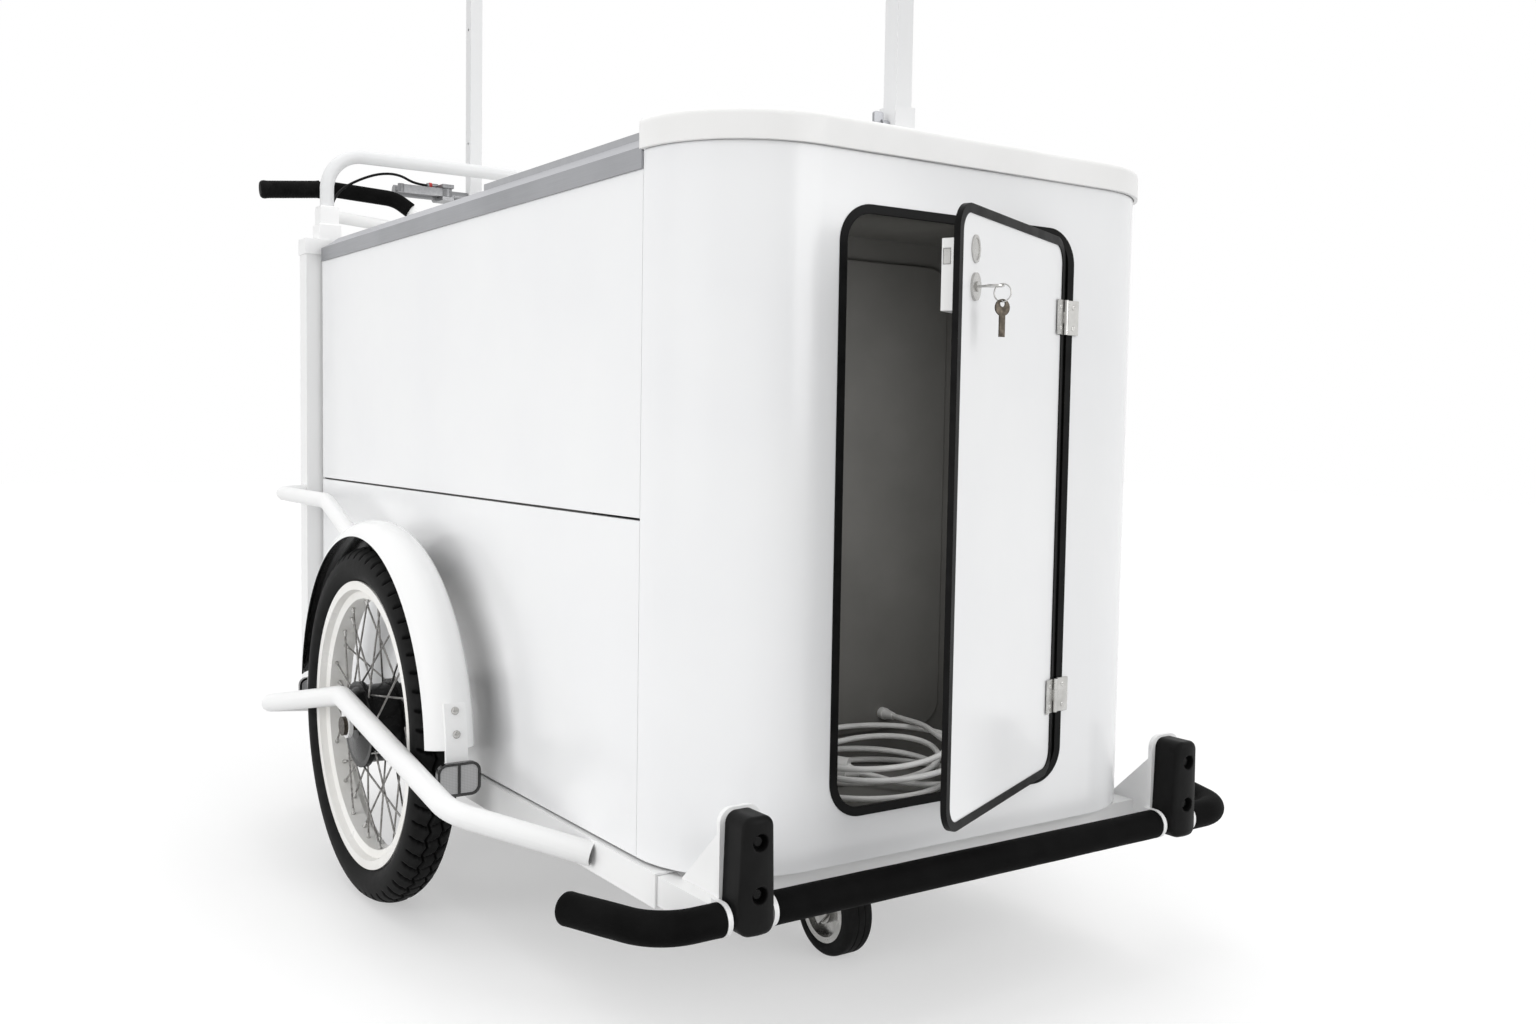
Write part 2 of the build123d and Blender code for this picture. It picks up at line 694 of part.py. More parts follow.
def make_hinges():
    """Butt hinges: a leaf with its pin on the shell and a leaf on the door, with three knuckles each."""
    shell_leaves = []
    door_leaves = []
    third = HINGE_HEIGHT / 3
    reach = HINGE_KNUCKLE + RUNNING_FIT * 6
    leaf_back = -DOOR_TRIM_SKIN
    leaf_front = leaf_back - HINGE_LEAF_SHEET
    for level in HINGE_LEVELS:
        bottom = level - HINGE_HEIGHT / 2
        top = level + HINGE_HEIGHT / 2
        low = bottom + third
        high = top - third
        leaf_end = HINGE_X + HINGE_LEAF
        lifted = leaf_front - HINGE_CLEAR
        shell_leaf = block(HINGE_X, leaf_end, lifted, leaf_back - HINGE_CLEAR, bottom, top)
        on_trim = OPENING_INNER_RIGHT + DOOR_GAP
        shell_leaf += block(on_trim, leaf_end, lifted, -FRAME_TRIM_PROUD, bottom, top)
        shell_leaf += block(OPENING_RIGHT, leaf_end, lifted, 0, bottom, top)
        shell_leaf += rod_z(HINGE_KNUCKLE, bottom, top, HINGE_X, -HINGE_AXIS_PROUD)
        shell_leaf -= block(HINGE_X - reach, HINGE_X + reach, -2 * HINGE_AXIS_PROUD, SHEET, low, high)
        shell_leaf += rod_z(HINGE_PIN, bottom, top, HINGE_X, -HINGE_AXIS_PROUD)
        shell_leaves.append(shell_leaf)
        knuckle_low = low + RUNNING_FIT * 2
        knuckle_high = high - RUNNING_FIT * 2
        leaf = block(HINGE_X - HINGE_LEAF, HINGE_X - reach, leaf_front, leaf_back, bottom, top)
        web = block(HINGE_X - reach, HINGE_X, leaf_front, leaf_back, knuckle_low, knuckle_high)
        knuckle = rod_z(HINGE_KNUCKLE, knuckle_low, knuckle_high, HINGE_X, -HINGE_AXIS_PROUD)
        bore = rod_z(HINGE_PIN + RUNNING_FIT, bottom, top, HINGE_X, -HINGE_AXIS_PROUD)
        door_leaves.append(opened(leaf + web + knuckle - bore))
    return {"shell_hinge_leaves": shell_leaves, "door_hinge_leaves": door_leaves}


def oval_plate(width, height, x, level, back0, back1):
    """Oval plate in the plane of the front face."""
    plane = Plane(origin=at(x, back1, level), x_dir=(1, 0, 0), z_dir=(0, -1, 0))
    return extrude(plane * Ellipse(width / 2, height / 2), back1 - back0)


def make_lock():
    """Escutcheon, blanking plug, lock case and bolt, key with its ring, and the spare key on the ring."""
    face = 0
    plate = oval_plate(ESCUTCHEON_WIDTH, ESCUTCHEON_HEIGHT, LOCK_X, LOCK_LEVEL, -ESCUTCHEON_PROUD, face)
    bore = rod_y(LOCK_PLUG_RADIUS + RUNNING_FIT, -2 * ESCUTCHEON_PROUD, DOOR_SHEET, LOCK_X, LOCK_LEVEL)
    blank = oval_plate(ESCUTCHEON_WIDTH, ESCUTCHEON_HEIGHT, LOCK_X, PLUG_LEVEL, -ESCUTCHEON_PROUD / 2, face)
    blank -= oval_plate(
        ESCUTCHEON_WIDTH - 2 * ESCUTCHEON_PROUD,
        ESCUTCHEON_HEIGHT - 2 * ESCUTCHEON_PROUD,
        LOCK_X,
        PLUG_LEVEL,
        -ESCUTCHEON_PROUD,
        -ESCUTCHEON_PROUD / 4,
    )
    case_left = DOOR_LEFT + DOOR_TRIM_LIP
    case_right = case_left + LOCK_CASE_WIDTH
    case_back = DOOR_SHEET + LOCK_CASE_DEPTH
    case_bottom = LOCK_CASE_LEVEL - LOCK_CASE_HEIGHT / 2
    case = block(case_left, case_right, DOOR_SHEET, case_back, case_bottom, case_bottom + LOCK_CASE_HEIGHT)
    case = fillet(case.edges().filter_by(Axis.Z).group_by(Axis.Y)[-1], LOCK_CASE_WALL)
    bolt_back = case_back - LOCK_CASE_WALL
    bolt_front = bolt_back - BOLT_THICK
    bolt_level = LOCK_CASE_LEVEL + LOCK_CASE_HEIGHT / 4
    play = FIT_GAP
    case -= block(
        case_left - play,
        case_left + BOLT_LENGTH + 2 * play,
        bolt_front - play,
        bolt_back + play,
        bolt_level - BOLT_HEIGHT / 2 - play,
        bolt_level + BOLT_HEIGHT / 2 + play,
    )
    plug_depth = bolt_front - LOCK_CASE_WALL
    case -= rod_y(LOCK_PLUG_RADIUS + RUNNING_FIT, 0, plug_depth, LOCK_X, LOCK_LEVEL)
    bolt = block(
        case_left,
        case_left + BOLT_LENGTH,
        bolt_front,
        bolt_back,
        bolt_level - BOLT_HEIGHT / 2,
        bolt_level + BOLT_HEIGHT / 2,
    )
    key = make_key(plug_depth - play)
    ring_middle = LOCK_LEVEL + KEY_THICK / 2 + RING_SLACK + RING_WIRE - RING_RADIUS
    ring = Pos(at(LOCK_X, -ring_ahead(), ring_middle)) * Rot(0, 90, 0) * Torus(RING_RADIUS, RING_WIRE)
    spare = make_spare_key(ring_middle - RING_RADIUS)
    return {
        "door_fittings": [opened(plate - bore), opened(blank)],
        "lock_case": [opened(case)],
        "lock_bolt": [opened(bolt)],
        "door_key": [opened(key), opened(ring)],
        "spare_key": [opened(spare)],
    }


def key_bow_middle():
    """Distance of the key bow's middle ahead of the door face."""
    return KEY_REACH - KEY_BOW_RADIUS


def ring_ahead():
    """Distance of the key ring's middle ahead of the door face: the strip of bow outside its hole."""
    return KEY_REACH - KEY_STRIP / 2


def make_key(plug_back):
    """Key turned flat in the lock plug, with a round bow and a ring hole near its outer edge."""
    bow_middle = key_bow_middle()
    hole_ahead = KEY_REACH - KEY_STRIP - KEY_HOLE_RADIUS
    key = rod_y(LOCK_PLUG_RADIUS, -ESCUTCHEON_PROUD - KEY_THICK, plug_back, LOCK_X, LOCK_LEVEL)
    half = KEY_THICK / 2
    bow = rod_z(KEY_BOW_RADIUS, LOCK_LEVEL - half, LOCK_LEVEL + half, LOCK_X, -bow_middle)
    bow -= rod_z(KEY_HOLE_RADIUS, LOCK_LEVEL - KEY_THICK, LOCK_LEVEL + KEY_THICK, LOCK_X, -hole_ahead)
    shank = block(
        LOCK_X - KEY_SHANK / 2,
        LOCK_X + KEY_SHANK / 2,
        -bow_middle + KEY_BOW_RADIUS * 0.6,
        -ESCUTCHEON_PROUD,
        LOCK_LEVEL - half,
        LOCK_LEVEL + half,
    )
    return key + bow + shank


def make_spare_key(wire_level):
    """Second key hanging flat on the lowest point of the ring's wire."""
    hole_level = wire_level + RING_WIRE + SPARE_KEY_PLAY - SPARE_KEY_HOLE
    key_top = hole_level + SPARE_KEY_HOLE + SPARE_KEY_STRIP
    bow_middle = key_top - SPARE_KEY_BOW
    half = KEY_THICK / 2
    back0 = -ring_ahead() - half
    back1 = -ring_ahead() + half
    key = rod_y(SPARE_KEY_BOW, back0, back1, LOCK_X, bow_middle)
    key -= rod_y(SPARE_KEY_HOLE, back0 - half, back1 + half, LOCK_X, hole_level)
    blade = SPARE_KEY_BLADE / 2
    tip = key_top - SPARE_KEY_LENGTH
    key += block(LOCK_X - blade, LOCK_X + blade, back0, back1, tip, bow_middle - SPARE_KEY_BOW / 2)
    return key.rotate(Axis(at(LOCK_X, -ring_ahead(), 0), (0, 0, 1)), SPARE_KEY_TURN)


def make_top():
    """Moulded front cap, lid rails with a fixed front strip, and the two sliding lids."""
    outline = front_outline(HALF + CAP_OVERHANG, -CAP_OVERHANG, SHELL_DEPTH, CORNER_RADIUS + CAP_OVERHANG)
    cap = Pos(0, 0, SHELL_TOP) * extrude(outline, CAP_TOP - SHELL_TOP)
    rim = cap.faces().sort_by(Axis.Z)[-1].edges().sort_by(Axis.Y)[:-1]
    cap = fillet(rim, CAP_EDGE_RADIUS)
    inside = front_outline(
        HALF + CAP_OVERHANG - CAP_SKIN,
        -CAP_OVERHANG + CAP_SKIN,
        SHELL_DEPTH - CAP_SKIN,
        CORNER_RADIUS + CAP_OVERHANG - CAP_SKIN,
    )
    cap -= Pos(0, 0, SHELL_TOP) * extrude(inside, CAP_TOP - CAP_EDGE_RADIUS - SHELL_TOP)
    half_socket = POLE_SOCKET / 2
    socket_room = block(
        -half_socket,
        half_socket,
        POLE_FRONT_BACK - half_socket,
        POLE_FRONT_BACK + half_socket,
        PANEL_TOP,
        POLE_SOCKET_TOP,
    )
    cap -= socket_room
    lid_half = HALF - TRACK_UPPER_IN - LID_PLAY
    low_half = HALF - TRACK_STEP_IN - LID_PLAY
    strip_back = SHELL_DEPTH + STRIP_DEPTH
    lid_face = TRACK_UPPER + LID_LIFT + LID_THICK
    strip = block(-lid_half, lid_half, SHELL_DEPTH + FIT_GAP, strip_back, TRACK_UPPER, lid_face)
    rail = lid_rail()
    front_lid = block(
        -lid_half,
        lid_half,
        strip_back + LID_PLAY,
        LID_MEET,
        TRACK_UPPER + LID_LIFT,
        lid_face,
    )
    grip_front = strip_back + 3 * LID_GRIP_DEPTH
    front_lid += lid_grip(grip_front, lid_face, LID_GRIP_HEIGHT)
    rear_back = RAIL_BACK - LID_PLAY
    low_face = TRACK_LOWER + LID_LIFT + LID_THICK
    rear_lid = block(
        -low_half,
        low_half,
        LID_MEET - LID_OVERLAP,
        rear_back,
        TRACK_LOWER + LID_LIFT,
        low_face,
    )
    rear_lid += lid_grip(rear_back - 3 * LID_GRIP_DEPTH, low_face, LOW_GRIP_HEIGHT)
    return {
        "front_cap": [cap],
        "top_rails": both_sides(rail) + [strip - socket_room],
        "lid_front": [front_lid],
        "lid_rear": [rear_lid],
    }


def lid_grip(back, face, height):
    """Rounded pull bar across the top of a lid."""
    bar = block(
        -LID_GRIP_LENGTH / 2,
        LID_GRIP_LENGTH / 2,
        back - LID_GRIP_DEPTH / 2,
        back + LID_GRIP_DEPTH / 2,
        face,
        face + height,
    )
    return fillet(bar.edges().group_by(Axis.Z)[-1], height / 3)


def lid_rail():
    """Left lid rail: fascia, rounded ledge, sloped shoulder, upper track, step and lower track."""
    outside = -HALF - RAIL_PROUD
    ledge = PANEL_TOP + RAIL_LEDGE_RISE
    profile = [
        (outside, PANEL_TOP),
        (outside, ledge),
        (outside + RAIL_LEDGE_IN, ledge + RAIL_PROUD),
        (-HALF + TRACK_UPPER_IN, TRACK_UPPER),
        (-HALF + TRACK_STEP_IN, TRACK_UPPER),
        (-HALF + TRACK_STEP_IN, TRACK_LOWER),
        (-HALF + TRACK_LOWER_IN, TRACK_LOWER),
        (-HALF + TRACK_LOWER_IN, PANEL_TOP),
    ]
    start = SHELL_DEPTH + FIT_GAP
    corners = [at(x, start, z) for x, z in profile]
    face = make_face(Polyline(*corners, close=True))
    rail = extrude(face, RAIL_BACK - start, dir=(0, 1, 0))
    rise = TRACK_UPPER - ledge
    mitre_corners = [
        at(0, RAIL_BACK, ledge + RAIL_PROUD),
        at(0, RAIL_BACK, TRACK_UPPER + rise),
        at(0, RAIL_BACK - RAIL_MITRE, TRACK_UPPER + rise),
    ]
    wedge = extrude(make_face(Polyline(*mitre_corners, close=True)), HALF + TRACK_UPPER_IN, dir=(-1, 0, 0))
    return rail - wedge


def make_freezer():
    """Stepped tub, foam round it, and the condensing unit under the step."""
    sheet = TUB_SHEET

    def tub_form(grow):
        full = block(
            -TUB_HALF_WIDTH - grow,
            TUB_HALF_WIDTH + grow,
            HUMP_BACK - grow,
            TUB_BACK + grow,
            TUB_FLOOR - grow,
            PANEL_TOP,
        )
        step = block(
            -TUB_HALF_WIDTH - grow,
            TUB_HALF_WIDTH + grow,
            TUB_FRONT - grow,
            TUB_BACK + grow,
            HUMP_TOP - grow,
            PANEL_TOP,
        )
        return full + step

    outer = tub_form(sheet)
    inside = tub_form(0)
    tub = outer - inside
    foam_half = HALF - SHEET - FIT_GAP
    foam_top = PANEL_TOP - FIT_GAP
    foam = block(-foam_half, foam_half, FOAM_FRONT, CABINET_BACK - FIT_GAP, CABINET_BOTTOM, foam_top)
    flange = 4 * SHEET
    seam = SEAM_HEIGHT - SHEET
    for side in (-1, 1):
        foam -= block(
            side * HALF,
            side * (HALF - flange - FIT_GAP),
            FOAM_FRONT,
            CABINET_BACK,
            seam - FIT_GAP,
            SEAM_HEIGHT + FIT_GAP,
        )
    foam -= outer
    machine = block(-foam_half, foam_half, FOAM_FRONT, MACHINE_BACK, CABINET_BOTTOM, MACHINE_TOP)
    foam -= machine
    plate_front = SWIVEL_BACK + CASTER_PLATE_DEPTH / 2
    plate = block(
        -foam_half + POST,
        foam_half - POST,
        plate_front,
        MACHINE_BACK - POST,
        RAIL_TOP,
        RAIL_TOP + UNIT_PLATE,
    )
    unit_back = (LINER_BACK + MACHINE_BACK) / 2
    deck = RAIL_TOP + UNIT_PLATE
    dome = COMPRESSOR_RADIUS / 2
    can = rod_z(COMPRESSOR_RADIUS, deck, deck + COMPRESSOR_HEIGHT, -TUB_HALF_WIDTH / 2, unit_back)
    can = fillet(can.edges().group_by(Axis.Z)[-1], dome)
    fin_pitch = CONDENSER_WIDTH / CONDENSER_FINS
    core_left = TUB_HALF_WIDTH / 4
    core = block(
        core_left,
        core_left + CONDENSER_WIDTH,
        unit_back - CONDENSER_DEPTH / 4,
        unit_back + CONDENSER_DEPTH / 4,
        deck,
        deck + CONDENSER_HEIGHT,
    )
    for index in range(CONDENSER_FINS):
        left = core_left + index * fin_pitch
        core += block(
            left,
            left + SHEET,
            unit_back - CONDENSER_DEPTH / 2,
            unit_back + CONDENSER_DEPTH / 2,
            deck,
            deck + CONDENSER_HEIGHT,
        )
    return {"freezer_tub": [tub], "insulation": [foam], "condensing_unit": [plate, can, core]}


def make_rear_frame():
    """Corner posts with caps, top cross tube, hoop sockets, pole carrier tubes and mudguard stays."""
    post_x = POST_OUTSIDE - POST / 2
    post = square_tube(POST, POST_WALL, RAIL_BOTTOM, POST_TOP, -post_x, POST_MIDDLE)
    cap_half = POST / 2 + POST_CAP_LIP
    cap = block(
        -post_x - cap_half,
        -post_x + cap_half,
        POST_MIDDLE - cap_half,
        POST_MIDDLE + cap_half,
        POST_TOP,
        POST_CAP_TOP,
    )
    cross_half = post_x - cap_half
    cross = block(-cross_half, cross_half, POST_FRONT, POST_BACK, POST_CAP_TOP - POST, POST_CAP_TOP)
    cross -= block(
        -cross_half,
        cross_half,
        POST_FRONT + POST_WALL,
        POST_BACK - POST_WALL,
        POST_CAP_TOP - POST + POST_WALL,
        POST_CAP_TOP - POST_WALL,
    )
    socket = hoop_socket()
    half_socket = POLE_SOCKET / 2
    half_neck = SOCKET_NECK / 2
    carrier_start = at(-SOCKET_X + half_neck, POST_MIDDLE + half_neck / 2, CARRIER_LEVEL)
    carrier_end = at(-half_socket, POLE_REAR_BACK, CARRIER_LEVEL)
    carrier = bent_tube([carrier_start, carrier_end], 0, CARRIER_TUBE, wall=POST_WALL)
    carrier_top = CARRIER_LEVEL + CARRIER_TUBE
    carrier -= block(0, -half_socket, POLE_REAR_BACK - POST, POLE_REAR_BACK + POST, PANEL_TOP, carrier_top)
    carrier -= block(
        -SOCKET_X - half_neck,
        -SOCKET_X + half_neck,
        POST_FRONT,
        POST_MIDDLE + half_neck,
        PANEL_TOP,
        SOCKET_TOP + SOCKET,
    )
    pieces = both_sides(post) + both_sides(cap) + [cross] + both_sides(socket) + both_sides(carrier)
    return {"rear_frame": pieces + both_sides(mudguard_stay())}


def hoop_socket():
    """Left hoop socket: a square foot that steps in to a narrower neck, bored for the hoop's leg."""
    step = POST_CAP_TOP + SOCKET_STEP
    low = POST_MIDDLE - SOCKET / 2
    foot = block(-SOCKET_X - SOCKET / 2, -SOCKET_X + SOCKET / 2, low, low + SOCKET, POST_CAP_TOP, step)
    foot = chamfer(foot.edges().group_by(Axis.Z)[-1], SOCKET_CHAMFER)
    low = POST_MIDDLE - SOCKET_NECK / 2
    half = SOCKET_NECK / 2
    neck = block(-SOCKET_X - half, -SOCKET_X + half, low, low + SOCKET_NECK, step, SOCKET_TOP)
    neck = chamfer(neck.edges().group_by(Axis.Z)[-1], SOCKET_CHAMFER)
    bore = rod_z(HOOP_TUBE / 2 + SLEEVE_PLAY, POST_CAP_TOP, SOCKET_TOP, -SOCKET_X, POST_MIDDLE)
    return foot + neck - bore


def mudguard_stay():
    """Left stay: from the post outwards, forward, and down to the crown of the mudguard."""
    angle = math.radians(STAY_FOOT_ANGLE)
    foot_radius = MUDGUARD_RADIUS + STAY_TUBE / 2
    foot_level = AXLE_LEVEL + foot_radius * math.sin(angle)
    foot = at(-STAY_X, WHEEL_BACK + foot_radius * math.cos(angle), foot_level)
    bend = at(-STAY_X, STAY_BEND_BACK, STAY_LEVEL)
    cut_end = foot + (foot - bend).normalized() * 2 * STAY_TUBE
    points = [
        at(-POST_OUTSIDE, POST_MIDDLE, STAY_LEVEL),
        at(-STAY_X, STAY_REAR_BACK, STAY_LEVEL),
        bend,
        cut_end,
    ]
    stay = bent_tube(points, STAY_BEND, STAY_TUBE, wall=POST_WALL)
    low, high = STAY_LEVEL - POST, STAY_LEVEL + POST
    inside_post = block(-POST_OUTSIDE, -POST_OUTSIDE + POST, POST_FRONT, POST_BACK, low, high)
    return stay - inside_post - mudguard_form()


def make_hoop():
    """Hoop of bent tube standing in the two square sockets."""
    foot = POST_CAP_TOP + POST_CAP_LIP
    points = [
        at(-SOCKET_X, POST_MIDDLE, foot),
        at(-SOCKET_X, POST_MIDDLE, HOOP_TOP),
        at(SOCKET_X, POST_MIDDLE, HOOP_TOP),
        at(SOCKET_X, POST_MIDDLE, foot),
    ]
    return {"rear_hoop": [bent_tube(points, HOOP_BEND, HOOP_TUBE, wall=HOOP_WALL)]}


def make_poles():
    """Square canopy poles with pin holes, their sockets, and the clamp knob of the front socket."""
    sockets = []
    poles = {}
    spots = (
        ("pole_front", POLE_FRONT_BACK, POLE_SOCKET_BOTTOM, POLE_SOCKET_TOP),
        ("pole_rear", POLE_REAR_BACK, REAR_SOCKET_BOTTOM, REAR_SOCKET_TOP),
    )
    inner = POLE + 2 * POLE_PLAY
    for name, back, bottom, top in spots:
        wall = (POLE_SOCKET - inner) / 2
        socket = square_tube(POLE_SOCKET, wall, bottom, top, 0, back)
        reach = inner / 2
        socket += block(-reach, reach, back - reach, back + reach, bottom, bottom + POLE_CAP)
        pole_bottom = bottom + POLE_CAP + LID_LIFT
        pole = square_tube(POLE, POLE_WALL, pole_bottom, POLE_TOP - POLE_CAP, 0, back)
        half = POLE / 2
        pole += block(-half, half, back - half, back + half, POLE_TOP - POLE_CAP, POLE_TOP)
        for step in range(2):
            pole -= rod_x(POLE_PIN_HOLE / 2, -POLE, POLE, back, POLE_PIN_LEVEL + step * POLE_PIN_PITCH)
        if name == "pole_front":
            socket -= rod_x(KNOB_SCREW / 2 + RUNNING_FIT, -POLE_SOCKET, 0, back, KNOB_LEVEL)
        sockets.append(socket)
        poles[name] = [pole]
    screw_end = -POLE / 2 - POLE_PLAY / 2
    head = -POLE_SOCKET / 2 - FIT_GAP
    knob = rod_x(KNOB_SCREW / 2, head - KNOB_LENGTH, screw_end, POLE_FRONT_BACK, KNOB_LEVEL)
    knob += rod_x(KNOB_SCREW, head - KNOB_LENGTH / 2, head, POLE_FRONT_BACK, KNOB_LEVEL)
    wing = block(
        head - KNOB_LENGTH,
        head - KNOB_LENGTH / 3,
        POLE_FRONT_BACK - KNOB_SCREW / 3,
        POLE_FRONT_BACK + KNOB_SCREW / 3,
        KNOB_LEVEL - KNOB_WING / 2,
        KNOB_LEVEL + KNOB_WING / 2,
    )
    knob += fillet(wing.edges().filter_by(Axis.Y), KNOB_SCREW / 2)
    return {"pole_sockets": sockets, "clamp_knob": [knob], **poles}


def bar_points(side):
    """Bend points of one half of the handlebar, from its tip to the middle section."""
    bends = (BAR_TIP, BAR_GRIP_BEND, BAR_DROP_BEND, BAR_MIDDLE_BEND)
    return [at(side * x, back, CARRIER_LEVEL + rise) for x, back, rise in bends]


def make_handlebar():
    """Bent handlebar with foam sleeves and grips, clamped in front of the rear pole's socket."""
    left = bar_points(-1)
    right = bar_points(1)
    bar = bent_tube(left + right[::-1], BAR_BEND_RADIUS, BAR_TUBE, wall=BAR_WALL)
    middle_back = BAR_MIDDLE_BEND[1]
    clamp_half = POLE_SOCKET / 2
    clamp = block(
        -clamp_half,
        clamp_half,
        middle_back - STEM_HALF,
        POLE_REAR_BACK - POLE_SOCKET / 2,
        BAR_MIDDLE_LEVEL - STEM_HALF,
        BAR_MIDDLE_LEVEL + STEM_HALF,
    )
    bar_room = BAR_TUBE / 2 + SLEEVE_PLAY
    clamp -= rod_x(bar_room, -2 * clamp_half, 2 * clamp_half, middle_back, BAR_MIDDLE_LEVEL)
    tip, grip_bend, drop_bend, middle_bend = left
    along = (grip_bend - tip).normalized()
    grip_stop = tip + along * GRIP_LENGTH
    bore = BAR_TUBE + 2 * SLEEVE_PLAY
    grip = bent_tube([tip, grip_stop], 0, GRIP_DIAMETER, bore=bore)
    end_disc = bent_tube([tip - along * GRIP_END, tip], 0, GRIP_DIAMETER)
    sleeve_start = grip_stop + along * FIT_GAP
    sleeve_stop = drop_bend + (middle_bend - drop_bend).normalized() * SLEEVE_STOP
    sleeve_points = [sleeve_start, grip_bend, drop_bend, sleeve_stop]
    sleeve = bent_tube(sleeve_points, BAR_BEND_RADIUS, SLEEVE_DIAMETER, bore=bore)
    soft = both_sides(grip + end_disc) + both_sides(sleeve)
    return {"handlebar": [bar, clamp], "handlebar_grips": soft}


def make_brake_lever():
    """Lever mount clamped on a stub of tube beside the rear pole, with sprung lever and cable adjuster."""
    back = POLE_REAR_BACK
    level = LEVER_STUB_LEVEL
    stub = rod_x(LEVER_STUB_TUBE / 2, -LEVER_STUB_REACH, -POLE_SOCKET / 2, back, level)
    clamp_left = LEVER_CLAMP_X - LEVER_CLAMP_WIDTH / 2
    clamp_right = LEVER_CLAMP_X + LEVER_CLAMP_WIDTH / 2
    clamp_radius = LEVER_STUB_TUBE / 2 + LEVER_CLAMP_WALL
    clamp = rod_x(clamp_radius, clamp_left, clamp_right, back, level)
    pivot_back = back - LEVER_PIVOT_AHEAD
    body_top = level + LEVER_HEIGHT
    body = block(clamp_left, clamp_right, pivot_back - LEVER_CLAMP_WIDTH / 2, back, level, body_top)
    body += clamp
    slot_low = level - LEVER_HEIGHT / 2 - FIT_GAP
    slot_high = level + LEVER_HEIGHT / 2 + FIT_GAP
    ear = LEVER_CLAMP_WIDTH / 2
    body += block(clamp_left, clamp_right, pivot_back - ear, back, level - LEVER_HEIGHT, body_top)
    slot_back = back - clamp_radius
    body -= block(clamp_left - ear, clamp_right, pivot_back - 2 * ear, slot_back, slot_low, slot_high)
    body -= rod_x(LEVER_STUB_TUBE / 2, clamp_left, clamp_right, back, level)
    pin = rod_z(LEVER_PIVOT_PIN, level - LEVER_HEIGHT, body_top, LEVER_CLAMP_X, pivot_back)
    outlet = cable_start()
    adjuster_end = clamp_left + ADJUSTER_RADIUS
    adjuster = rod_x(ADJUSTER_RADIUS, outlet.X, adjuster_end, back - clamp_radius / 2, outlet.Z)
    mount = body + pin + adjuster
    lever = rod_z(ear - FIT_GAP, slot_low + FIT_GAP, slot_high - FIT_GAP, LEVER_CLAMP_X, pivot_back)
    lever_left = LEVER_CLAMP_X - LEVER_LENGTH
    lever += block(
        lever_left,
        LEVER_CLAMP_X,
        pivot_back - LEVER_THICK,
        pivot_back,
        slot_low + FIT_GAP,
        slot_high - FIT_GAP,
    )
    tip = rod_z(LEVER_THICK, slot_low + FIT_GAP, slot_high - FIT_GAP, lever_left, pivot_back - LEVER_THICK)
    lever += tip
    lever -= rod_z(LEVER_PIVOT_PIN + RUNNING_FIT, level - LEVER_HEIGHT, body_top, LEVER_CLAMP_X, pivot_back)
    return {"brake_lever_mount": [stub, mount], "brake_lever": [lever]}


